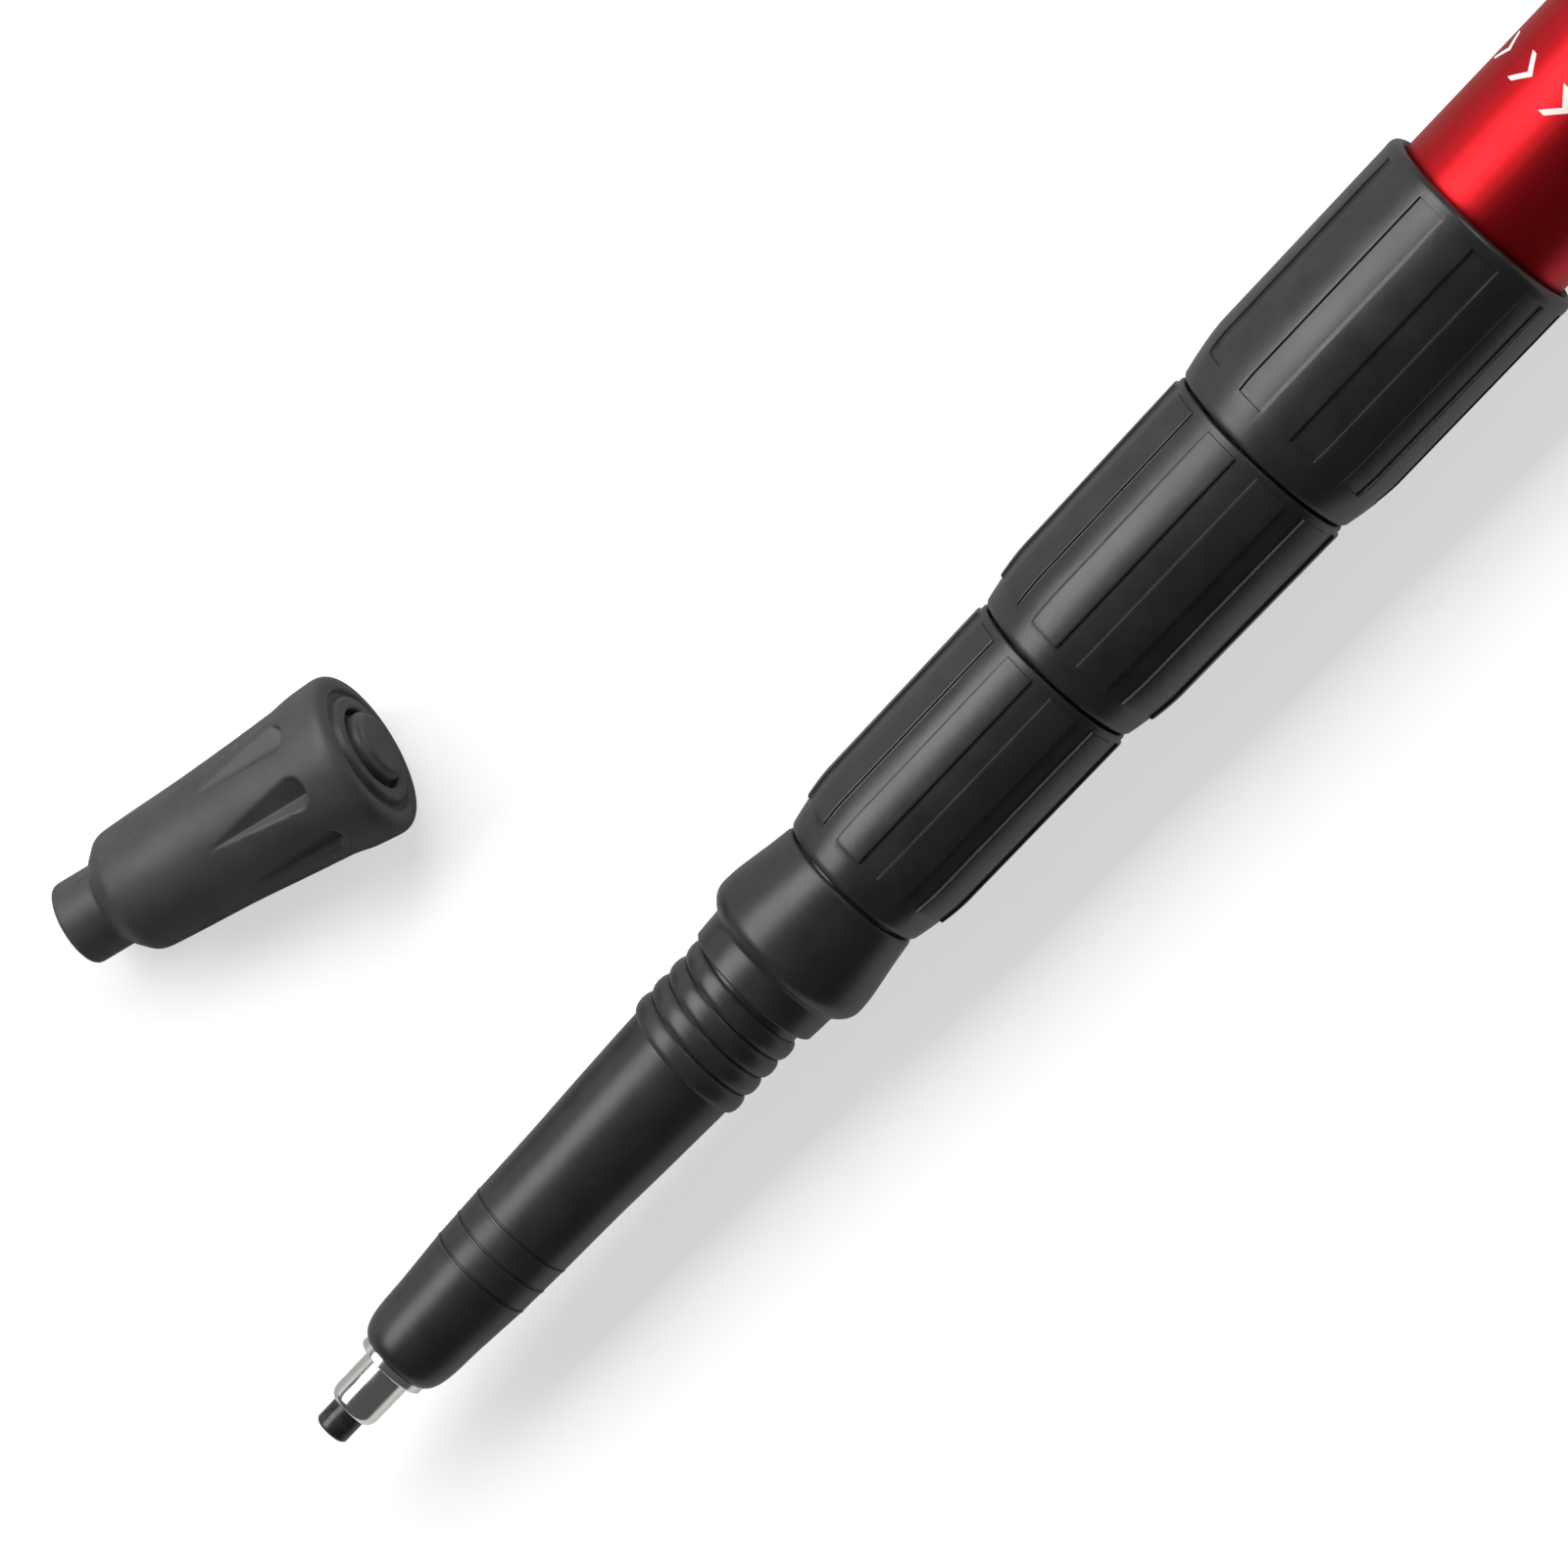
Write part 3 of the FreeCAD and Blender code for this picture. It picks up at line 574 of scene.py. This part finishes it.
# %% Tip moulding
THREAD = {"start": 55.45, "pitch": 2.6, "turns": 4, "crest": 7.68, "root": 7.02}
RIDGE_HALF_WIDTH, RIDGE_HEIGHT, RIDGE_POINTS = 1.27, 0.62, 14
RIDGE_STEPS_A_TURN, FADE_STEPS, FADE_DEPTH = 72, 14, 0.75

front = [(10.6, 4.2), (10.75, 4.42), (11.3, 4.8), (12.3, 5.15), (14.0, 5.40), (17.2, 5.55), (20.3, 5.78), (23.4, 6.01)]
stations = [(10.6, 0.3)] + smooth_run(front, 3)
for ring, radius in ((23.9, 6.03), (27.0, 6.14), (30.2, 6.25)):
    stations += [(ring - 0.3, radius), (ring - 0.12, radius + 0.07), (ring + 0.03, radius + 0.05),
                 (ring + 0.1, radius - 0.13), (ring + 0.26, radius - 0.13), (ring + 0.38, radius + 0.02),
                 (ring + 2.7, radius + 0.1)]
stations = stations[:-1]
taper = [(32.2, 6.30), (38.6, 6.45), (43.9, 6.66), (49.0, 6.84), (53.4, 6.98), (55.2, THREAD["root"])]
stations += smooth_run(taper, 3)
stations += [(66.3, THREAD["root"]), (66.4, 7.2), (66.42, 7.9), (66.6, 8.08)]
cup = [(68.2, 8.18), (69.6, 8.26), (70.0, 8.45), (70.5, 9.02), (71.1, 9.52), (71.8, 9.82), (72.5, 9.89), (73.5, 9.84),
       (74.5, 9.74), (76.6, 9.40), (78.7, 9.04), (80.4, 8.80), (81.1, 8.70)]
stations += smooth_run(cup, 4)
stations += [(81.4, 8.58), (81.58, 8.35), (81.6, 8.1), (81.6, 7.4), (81.45, 7.27), (72.0, 7.27), (72.0, 0.3)]
moulding = lathe("tip_moulding_body", stations, 192)

nothing_selected()
bpy.ops.mesh.primitive_circle_add(vertices=RIDGE_POINTS, radius=1.0 * MM, fill_type="NOTHING",
                                  location=(THREAD["start"] * MM, (THREAD["crest"] - RIDGE_HEIGHT) * MM, 0))
ridge = bpy.context.object
ridge.scale = (RIDGE_HALF_WIDTH, RIDGE_HEIGHT, 1.0)
bpy.ops.object.transform_apply(location=True, rotation=True, scale=True)
screw = ridge.modifiers.new("thread", "SCREW")
screw.axis = "X"
screw.angle = -2 * math.pi * THREAD["turns"]
screw.screw_offset = THREAD["pitch"] * THREAD["turns"] * MM
screw.steps = screw.render_steps = RIDGE_STEPS_A_TURN * THREAD["turns"]
screw.use_merge_vertices = False
bpy.ops.object.modifier_apply(modifier="thread")
ridge.data.transform(Matrix.Rotation(math.radians(-90), 4, "X"))
last = len(ridge.data.vertices) // RIDGE_POINTS - 1
for vertex in ridge.data.vertices:
    step = vertex.index // RIDGE_POINTS
    sunk = max(0.0, 1 - min(step, last - step) / FADE_STEPS)
    radius = math.hypot(vertex.co.y, vertex.co.z)
    factor = (radius - FADE_DEPTH * MM * sunk ** 2) / radius
    vertex.co.y *= factor
    vertex.co.z *= factor
bpy.ops.object.mode_set(mode="EDIT")
bpy.ops.mesh.select_all(action="SELECT")
bpy.ops.mesh.fill_holes(sides=0)
bpy.ops.mesh.select_all(action="SELECT")
bpy.ops.mesh.normals_make_consistent(inside=False)
bpy.ops.object.mode_set(mode="OBJECT")
subtract(moulding, ridge, "UNION")
smooth_shading(moulding, 35)
hand_over(moulding, "tip_moulding", tip_finish)

# %% [markdown]
# ## Ferrule, point and lower tube
# The plated ferrule is a sleeve with a small flange against the moulding. The point is a short rod of hard metal with a
# hollow end, whose rim bites into the ground. The lower tube is only seen when the pole is pulled out.

# %% Ferrule, point and lower tube
sleeve = [(3.1, 1.7), (3.1, 2.1), (3.16, 2.3), (3.4, 2.6), (3.8, 2.8), (4.3, 2.9), (9.45, 2.9), (9.5, 2.95), (9.5, 3.9)]
sleeve += [(9.65, 4.05), (10.45, 4.05), (10.6, 3.9), (10.6, 3.0), (14.0, 3.0), (14.0, 1.7), (3.1, 1.7)]
ferrule = lathe("ferrule_sleeve", sleeve, 128)
soften(ferrule, 0.1, 3)
smooth_shading(ferrule)
hand_over(ferrule, "ferrule", plated_finish)

point = lathe("hard_metal_point", [(0.55, 0.05), (0.52, 0.5), (0.32, 1.05), (0.05, 1.5), (0.0, 1.62), (0.0, 1.75),
                                   (0.28, 2.0), (3.06, 2.0), (3.09, 1.6), (8.0, 1.6), (8.0, 0.05)], 96)
soften(point, 0.07, 2)
smooth_shading(point)
hand_over(point, "carbide_tip", carbide_finish)

low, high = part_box("lower_tube")
top, radius = high[0] / MM, high[2] / MM
lower = lathe("lower_tube_wall", [(60.0, 5.6), (67.0, 5.6), (74.0, radius), (220.0, radius), (top, radius),
                                  (top, radius - 0.8), (74.0, radius - 0.8), (60.0, 4.8), (60.0, 5.6)], 144)
soften(lower, 0.15)
smooth_shading(lower)
hand_over(lower, "lower_tube", silver_finish)

# %% [markdown]
# ## Rubber foot
# The foot is turned first: neck, stepped shoulder, flaring body, and a sole that rises in rings to a disc. Eight flutes
# are then cut. Each is a V groove with a straight keel and one flank wider than the other. Because the body flares,
# the groove widens toward the sole, where a rounded outline ends it. The cutter is a three-sided bar kept only inside
# that outline. Rubber has no sharp edges, so the shape is remeshed very finely and smoothed a little. It is modelled
# along X and then laid where its sole mount says.

# %% Rubber foot
FOOT_LENGTH = 40.7
FLUTES = 8
FLUTE_TURN = 14.8
FOOT_VOXEL = 0.2

foot_side = [(8.4, 7.20), (10.5, 7.34), (12.9, 7.47), (18.9, 7.76), (22.9, 8.07), (26.8, 8.44), (30.8, 8.84),
             (34.6, 9.27), (36.5, 9.42), (37.5, 9.48), (38.2, 9.36), (38.7, 9.02), (38.95, 8.6)]
stations = [(0.35, 3.0), (0.0, 3.35), (0.0, 4.4), (0.15, 4.72), (0.5, 4.87), (5.3, 4.87), (5.45, 5.1), (5.6, 5.45),
            (7.1, 6.80), (7.7, 7.08)]
stations += smooth_run(foot_side, 3)
stations += [(39.0, 8.2), (39.0, 7.45), (38.5, 7.2), (38.4, 6.9), (38.5, 6.6), (39.4, 6.3), (39.45, 6.1), (39.45, 4.95),
             (39.3, 4.8), (38.0, 4.75), (38.0, 4.2), (40.0, 4.1), (40.1, 4.0), (40.1, 3.7), (40.6, 3.5), (40.7, 3.3),
             (40.7, 0.2)]
foot = lathe("rubber_foot_body", stations, 128)


def flute_cutter(turn):
    """A three-sided bar kept inside a rounded outline, turned round the foot's axis."""
    nothing_selected()
    bpy.ops.mesh.primitive_cube_add(size=1.0, location=(26.75 * MM, 0, 9.91 * MM))
    keel = bpy.context.object
    keel.scale = (15.5 * MM, 1.0, 4.18 * MM)
    bpy.ops.object.transform_apply(location=True, rotation=True, scale=True)
    for corner in keel.data.vertices:
        lower = corner.co.z < 9 * MM
        corner.co.y = 0.0 if lower else (14.9 if corner.co.y > 0 else -4.5) * MM
    bpy.ops.mesh.primitive_cylinder_add(vertices=48, radius=2.0 * MM, depth=8 * MM,
                                        location=(31.8 * MM, 0.75 * MM, 9 * MM))
    outline = bpy.context.object
    bpy.ops.object.transform_apply(location=True, rotation=True, scale=True)
    for corner in outline.data.vertices:
        if corner.co.x < 31.75 * MM:
            corner.co.x = 18.0 * MM + 0.01 * (corner.co.x - 31.8 * MM)
    subtract(keel, outline, "INTERSECT")
    only(keel)
    keel.matrix_world = Matrix.Rotation(math.radians(turn), 4, "X")
    bpy.ops.object.transform_apply(location=True, rotation=True, scale=True)
    return keel


for i in range(FLUTES):
    subtract(foot, flute_cutter(FLUTE_TURN + i * 360 / FLUTES))

only(foot)
remesh = foot.modifiers.new("fine", "REMESH")
remesh.mode = "VOXEL"
remesh.voxel_size = FOOT_VOXEL * MM
bpy.ops.object.modifier_apply(modifier="fine")
relax = foot.modifiers.new("relax", "SMOOTH")
relax.factor = 0.5
relax.iterations = 4
bpy.ops.object.modifier_apply(modifier="relax")
bpy.ops.object.shade_smooth()

sole = next(m for m in record["mounts"] if m["name"] == "foot_sole")
forward = Vector(sole["axis"]).normalized()
upward = (Vector((0, 0, 1)) - forward * forward.z).normalized()
turn = Matrix((forward, upward.cross(forward), upward)).transposed().to_4x4()
foot.matrix_world = Matrix.Translation(Vector(sole["pos_m"])) @ turn @ Matrix.Translation((-FOOT_LENGTH * MM, 0, 0))
bpy.ops.object.transform_apply(location=True, rotation=True, scale=True)
hand_over(foot, "rubber_foot", foot_finish)

# %% [markdown]
# ## Grip and head
# The grip is an oval sleeve with soft waves for the fingers. Its skin is divided into small squares, and each square is
# inset and pushed in a little, which gives the waffle surface of a moulded rubber grip. The head is a smooth dome with
# a slot where the strap goes in.

# %% Grip


def oval_lathe(name, stations, segments):
    """Like lathe, but each station is (distance, half width, half height, sideways offset)."""
    nothing_selected()
    x, wide, high, offset = stations[0]
    bpy.ops.mesh.primitive_circle_add(vertices=segments, radius=MM, location=(x * MM, offset * MM, 0),
                                      rotation=(math.pi / 2, 0, math.pi / 2))
    piece = bpy.context.object
    piece.name = name
    bpy.ops.object.transform_apply(location=True, rotation=True, scale=True)
    bpy.ops.object.mode_set(mode="EDIT")
    bpy.ops.mesh.select_all(action="SELECT")
    bpy.ops.transform.resize(value=(1, wide, high), center_override=(x * MM, offset * MM, 0))
    for a, b in zip(stations, stations[1:]):
        move = ((b[0] - a[0]) * MM, (b[3] - a[3]) * MM, 0)
        bpy.ops.mesh.extrude_region_move(TRANSFORM_OT_translate={"value": move})
        bpy.ops.transform.resize(value=(1, b[1] / a[1], b[2] / a[2]), center_override=(b[0] * MM, b[3] * MM, 0))
    bpy.ops.mesh.select_all(action="SELECT")
    bpy.ops.mesh.remove_doubles(threshold=1e-7)
    bpy.ops.mesh.fill_holes(sides=0)
    bpy.ops.mesh.select_all(action="SELECT")
    bpy.ops.mesh.normals_make_consistent(inside=False)
    bpy.ops.object.mode_set(mode="OBJECT")
    return piece


low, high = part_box("grip")
start, end = low[0] / MM, high[0] / MM
rest = 12.9
waves = [(0.0, 12.9, 12.3, 0.0), (0.05, 14.4, rest, 0.0), (0.17, 15.7, rest, -0.3), (0.30, 15.0, rest, 0.4),
         (0.43, 16.4, rest, -0.5), (0.56, 15.5, rest, 0.5), (0.70, 16.9, rest, -0.6), (0.83, 16.0, rest, 0.4),
         (0.95, 17.2, rest, 0.0), (1.0, 17.3, rest, 0.0)]
outline = smooth_run([(start + (end - start) * w[0], w[1], w[2], w[3]) for w in waves], 60)
rows = 56
skin = []
cursor = 0
for row in range(rows + 1):
    x = start + (end - start) * row / rows
    while cursor < len(outline) - 2 and outline[cursor + 1][0] < x:
        cursor += 1
    a, b = outline[cursor], outline[cursor + 1]
    t = min(max((x - a[0]) / max(b[0] - a[0], 1e-9), 0.0), 1.0)
    skin.append((x, *(a[k] + (b[k] - a[k]) * t for k in (1, 2, 3))))
skin = [(s[0], s[1], min(s[2], rest), s[3]) for s in skin]
bore = 11.02
tail = [(end, bore, bore, 0.0), (start, bore, bore, 0.0), skin[0]]
grip = oval_lathe("grip_sleeve", skin + tail, 44)
bpy.ops.object.mode_set(mode="EDIT")
bpy.ops.mesh.select_mode(type="FACE")
bpy.ops.mesh.select_all(action="DESELECT")
mesh = bmesh.from_edit_mesh(grip.data)
for face in mesh.faces:
    centre = face.calc_center_median() / MM
    outside = math.hypot(centre.y, centre.z) > bore + 0.9
    face.select = outside and start + 9 < centre.x < end - 8 and abs(face.normal.x) < 0.6
bmesh.update_edit_mesh(grip.data)
bpy.ops.mesh.inset(thickness=0.36 * MM, depth=-0.3 * MM, use_individual=True)
bpy.ops.mesh.select_mode(type="VERT")
bpy.ops.object.mode_set(mode="OBJECT")
soften(grip, 0.25, 2, 60.0, start - 1, start + 1)
smooth_shading(grip, 50)
hand_over(grip, "grip", grip_finish)

# %% [markdown]
# ## Head, strap pocket and pin
# The head is the domed cap that rests against the palm. It is drawn from oval rings like the grip, and its dome closes
# by an elliptic run of smaller and smaller rings. The strap turns round a steel pin inside it. The pocket is cut with a
# round bar whose outer half is drawn out sideways, which leaves room for the strap to swing.

# %% Head, with the strap's pocket and pin
PIN = (550.0, 2.0)
POCKET_HALF, POCKET_REACH, POCKET_SPREAD = 3.7, 23.0, 20.5
PIN_HOLE_R, PIN_R = 1.62, 1.58
HEAD_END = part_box("grip_head")[1][0] / MM
head_start = end + 0.3
dome = [(head_start, 16.7, 12.4, 0.0), (head_start + 0.25, 17.1, 12.75, 0.0), (head_start + 0.8, 17.45, rest, 0.0),
        (545.0, 17.7, rest, 0.0), (549.0, 17.8, rest, 0.0), (552.0, 17.8, rest, 0.0)]
for step in range(0, 15):
    across = 0.97 * math.sin(math.radians(90 * step / 14))
    size = math.sqrt(1 - across ** 2)
    dome.append((554.0 + (HEAD_END - 554.0) * across / 0.97, 17.8 * size, rest * size, 0.0))
head = oval_lathe("grip_head_shell", [(head_start, 11.2, 11.2, 0.0)] + dome, 96)

nothing_selected()
bpy.ops.mesh.primitive_cylinder_add(vertices=64, radius=POCKET_HALF * MM, depth=19.2 * MM,
                                    location=(PIN[0] * MM, PIN[1] * MM, 0))
pocket = bpy.context.object
bpy.ops.object.transform_apply(location=True, rotation=True, scale=True)
spread = POCKET_REACH * math.tan(math.radians(POCKET_SPREAD))
for vertex in pocket.data.vertices:
    if vertex.co.y > (PIN[1] + 0.01) * MM:
        right = (vertex.co.x / MM - PIN[0]) / POCKET_HALF
        vertex.co.y = (PIN[1] + POCKET_REACH) * MM
        vertex.co.x = (PIN[0] + POCKET_HALF * right + spread * (right + 1) / 2) * MM
subtract(head, pocket)
nothing_selected()
bpy.ops.mesh.primitive_cylinder_add(vertices=48, radius=PIN_HOLE_R * MM, depth=40 * MM,
                                    location=(PIN[0] * MM, PIN[1] * MM, 0))
subtract(head, bpy.context.object)
smooth_shading(head, 40)
hand_over(head, "grip_head", head_finish)

nothing_selected()
bpy.ops.mesh.primitive_cylinder_add(vertices=48, radius=PIN_R * MM, depth=24.6 * MM,
                                    location=(PIN[0] * MM, PIN[1] * MM, 0))
pin = bpy.context.object
pin.name = "strap_cross_pin"
bpy.ops.object.transform_apply(location=True, rotation=True, scale=True)
soften(pin, 0.25, 3, 60.0)
smooth_shading(pin)
hand_over(pin, "strap_pin", steel_finish)

# %% [markdown]
# ## Wrist strap and wedge
# The strap is flat webbing on edge, so a smooth curve gives its line and the curve's extrusion its width. Its UV map
# runs along and across the band, in metres, so that the woven threads follow it round every bend. Solidify gives the
# thickness and a bevel rounds the selvedge. A wedge between the two legs keeps the loop's size.

# %% Wrist strap
STRAP_HALF = 9.0
STRAP_THICKNESS, SELVEDGE = 1.45, 0.45
STRAP_LINE = [(547.5, 24.0), (547.3, 26.5), (543.5, 31.8), (533.0, 35.0), (505.0, 35.0), (468.0, 33.5), (428.0, 34.0),
              (400.0, 38.5), (387.0, 50.0), (396.0, 61.5), (428.0, 68.0), (470.0, 70.3), (510.0, 68.0), (536.0, 59.0),
              (549.0, 43.0), (552.3, 26.5), (552.5, 24.0)]

line = bpy.data.curves.new("strap_line", "CURVE")
line.dimensions = "3D"
spline = line.splines.new("BEZIER")
turn_points = [(PIN[0] + 2.5 * math.cos(a), PIN[1] + 2.5 * math.sin(a))
               for a in (math.radians(d) for d in (0, -45, -90, -135, -180))]
loop = STRAP_LINE + [(552.5, 13.0)] + turn_points + [(547.5, 13.0)]
spline.bezier_points.add(len(loop) - 1)
for handle, (x, y) in zip(spline.bezier_points, loop):
    handle.co = (x * MM, y * MM, 0)
    handle.handle_left_type = handle.handle_right_type = "AUTO"
spline.use_cyclic_u = True
spline.resolution_u = 14
line.extrude = STRAP_HALF * MM
strap = bpy.data.objects.new("wrist_webbing", line)
bpy.context.scene.collection.objects.link(strap)
only(strap)
bpy.ops.object.convert(target="MESH")
strap = bpy.context.object
mesh = bmesh.new()
mesh.from_mesh(strap.data)
uv = mesh.loops.layers.uv.verify()
mesh.faces.ensure_lookup_table()
travel = 0.0
for face in mesh.faces:
    middle = {}
    for loop_corner in face.loops:
        key = (round(loop_corner.vert.co.x, 7), round(loop_corner.vert.co.y, 7))
        middle.setdefault(key, []).append(loop_corner)
    keys = list(middle)
    if face.index == 0:
        shared = keys[0]
    else:
        shared = next((k for k in keys if k in previous), keys[0])
    other = next(k for k in keys if k != shared)
    step = math.dist(shared, other)
    for key, corners in middle.items():
        for corner in corners:
            corner[uv].uv = (travel + (step if key == other else 0.0), corner.vert.co.z)
    travel += step
    previous = {other}
mesh.to_mesh(strap.data)
mesh.free()
print("webbing length", round(travel, 4), "m")

only(strap)
thick = strap.modifiers.new("thickness", "SOLIDIFY")
thick.thickness = STRAP_THICKNESS * MM
thick.offset = 0.0
bpy.ops.object.modifier_apply(modifier="thickness")
edge = strap.modifiers.new("selvedge", "BEVEL")
edge.width = SELVEDGE * MM
edge.segments = 3
edge.limit_method = "ANGLE"
edge.angle_limit = math.radians(50)
bpy.ops.object.modifier_apply(modifier="selvedge")
smooth_shading(strap, 45)

# %% [markdown]
# ## Webbing
# Wrist webbing is woven in ribs: columns of warp threads, each passing over and under the weft, half a step apart from
# its neighbour. An image could show that, but sine waves on the UV map do it at any size. Two rows of lighter
# stitching run along the edges.

# %% Webbing material
weave_group, weave_in, weave_out = new_group("webbing weave", [("Vector", None)], ["Height", "Thread", "Stitch"])
split = weave_group.nodes.new("ShaderNodeSeparateXYZ")
weave_group.links.new(weave_in.outputs["Vector"], split.inputs["Vector"])
along, across = split.outputs["X"], split.outputs["Y"]
rib = calc(weave_group, "ABSOLUTE", calc(weave_group, "SINE", calc(
    weave_group, "MULTIPLY", along, math.pi / (1.1 * MM))))
column = calc(weave_group, "MULTIPLY", across, math.pi / (1.5 * MM))
half_step = calc(weave_group, "MULTIPLY", calc(weave_group, "SIGN", calc(weave_group, "SINE", column)), math.pi / 2)
pick = calc(weave_group, "ABSOLUTE", calc(weave_group, "SINE", calc(
    weave_group, "ADD", calc(weave_group, "MULTIPLY", along, math.pi / (2.2 * MM)), half_step)))
warp = calc(weave_group, "ABSOLUTE", calc(weave_group, "SINE", column))
height = calc(weave_group, "MULTIPLY", warp, calc(weave_group, "ADD", pick, calc(weave_group, "MULTIPLY", rib, 0.3)))
edge_distance = calc(weave_group, "ABSOLUTE", calc(weave_group, "SUBTRACT", calc(
    weave_group, "ABSOLUTE", across), 6.9 * MM))
row = calc(weave_group, "LESS_THAN", edge_distance, 0.28 * MM)
dash = calc(weave_group, "GREATER_THAN", calc(weave_group, "SINE", calc(
    weave_group, "MULTIPLY", along, 2 * math.pi / (3.2 * MM))), -0.35)
stitch = calc(weave_group, "MULTIPLY", row, dash)
weave_group.links.new(calc(weave_group, "ADD", height, stitch), weave_out.inputs["Height"])
weave_group.links.new(height, weave_out.inputs["Thread"])
weave_group.links.new(stitch, weave_out.inputs["Stitch"])

webbing = bpy.data.materials.new("black woven webbing")
webbing.use_nodes = True
tree = webbing.node_tree
shader = tree.nodes["Principled BSDF"]
shader.inputs["Sheen Weight"].default_value = 0.35
shader.inputs["Sheen Roughness"].default_value = 0.4
weave = place_group(tree, weave_group)
tree.links.new(tree.nodes.new("ShaderNodeUVMap").outputs["UV"], weave.inputs["Vector"])
touch = place_group(tree, handling_group, Scale=120.0, Lowest=0.62, Highest=0.82)
# The woven pattern is partly real and partly painted light: the thread tone follows the weave's height, so painted
# shade darkens the gaps between threads and the raised crowns are lighter.
webbing_colour_with_gap_shade = mix_colour(tree, weave.outputs["Thread"], (0.010, 0.010, 0.011), (0.034, 0.034, 0.036))
webbing_colour_with_gap_shade = mix_colour(tree, weave.outputs["Stitch"], webbing_colour_with_gap_shade, (0.16, 0.16, 0.165))
tree.links.new(webbing_colour_with_gap_shade, shader.inputs["Base Color"])
tree.links.new(touch.outputs["Roughness"], shader.inputs["Roughness"])
tree.links.new(bump(tree, weave.outputs["Height"], 0.8, 0.12 * MM), shader.inputs["Normal"])
hand_over(strap, "wrist_strap", webbing)

# %% [markdown]
# ## Wedge
# The wedge jams between the strap's two legs and holds the loop at its size. It starts as a block the size of the
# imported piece, and its inner end is made narrower before its edges are rounded.

# %% Wedge
low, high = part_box("strap_wedge")
nothing_selected()
bpy.ops.mesh.primitive_cube_add(size=1.0, location=[(a + b) / 2 for a, b in zip(low, high)])
wedge = bpy.context.object
wedge.name = "strap_lock_wedge"
wedge.scale = [b - a for a, b in zip(low, high)]
bpy.ops.object.transform_apply(location=True, rotation=True, scale=True)
bpy.ops.object.mode_set(mode="EDIT")
bpy.ops.mesh.select_all(action="DESELECT")
mesh = bmesh.from_edit_mesh(wedge.data)
for face in mesh.faces:
    face.select = face.normal.y < -0.9
bmesh.update_edit_mesh(wedge.data)
bpy.ops.transform.resize(value=(0.68, 1, 0.94), center_override=(PIN[0] * MM, low[1], 0))
bpy.ops.object.mode_set(mode="OBJECT")
soften(wedge, 0.4, 3, 50.0)
smooth_shading(wedge)
hand_over(wedge, "strap_wedge", wedge_finish)

# %% [markdown]
# ## Inner lock pieces
# The expanders, cone nuts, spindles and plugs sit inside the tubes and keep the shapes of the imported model. They only
# need their own finishes.

# %% Finishes on the inner pieces
inner = {"expander": nylon_finish, "cone_nut": insert_finish, "spindle_insert": insert_finish, "spindle": steel_finish}
for name, node in frame["nodes"].items():
    family = name.rstrip("123").rstrip("_")
    if family in inner or name == "foot_washer":
        node.data.materials.clear()
        node.data.materials.append(inner.get(family, steel_finish))
print("inner pieces finished")

# %% [markdown]
# ## Floor
# A plain pale floor lies just under the pole. To the camera it is an even, nearly white surface that catches soft
# shadows. To everything else it carries painted shade and painted light: it is darker on the near side, so that the
# near flank of the pole stays dark, and a strip next to the pole glows a little, which paints a thin light edge on that
# flank.

# %% Floor
nothing_selected()
bpy.ops.mesh.primitive_plane_add(size=12.0, location=(0.2, 0.0, FLOOR_HEIGHT - 0.0002))
floor = bpy.context.object
floor.name = "floor"
ground = bpy.data.materials.new("pale floor")
ground.use_nodes = True
tree = ground.node_tree
shader = tree.nodes["Principled BSDF"]
shader.inputs["Specular IOR Level"].default_value = 0.1
axes = tree.nodes.new("ShaderNodeSeparateXYZ")
tree.links.new(tree.nodes.new("ShaderNodeTexCoord").outputs["Object"], axes.inputs["Vector"])
near = remap(tree, axes.outputs["Y"], -0.075, -0.030, 0.0, 1.0, True)
far = remap(tree, axes.outputs["Y"], 0.0, 0.02, 0.0, 1.0, True)
# Painted shade: everything but the camera sees the floor dark on the near side.
reflection_colour_with_painted_shade = mix_colour(tree, near, (0.10, 0.10, 0.10), (0.40, 0.40, 0.40))
direct = tree.nodes.new("ShaderNodeLightPath").outputs["Is Camera Ray"]
speck = remap(tree, noise(tree, tree.nodes.new("ShaderNodeTexCoord").outputs["Object"], 9.0, 3.0), 0.3, 0.7, 0.0, 1.0)
seen = mix_colour(tree, speck, (0.46, 0.46, 0.46), (0.49, 0.49, 0.49))
tree.links.new(mix_colour(tree, direct, reflection_colour_with_painted_shade, seen), shader.inputs["Base Color"])
tree.links.new(remap(tree, speck, 0.0, 1.0, 0.7, 0.8), shader.inputs["Roughness"])
shader.inputs["Emission Color"].default_value = (1.0, 1.0, 1.0, 1.0)
# Painted light: a strip next to the pole glows for everything but the camera, a light edge in the pole's reflections.
beside = calc(tree, "MULTIPLY", calc(tree, "SUBTRACT", near, far), 0.28)
glow = calc(tree, "MAXIMUM", calc(tree, "MULTIPLY", direct, 0.60), beside)
tree.links.new(glow, shader.inputs["Emission Strength"])
floor.data.materials.append(ground)
print("floor at", round(FLOOR_HEIGHT / MM, 2), "mm")
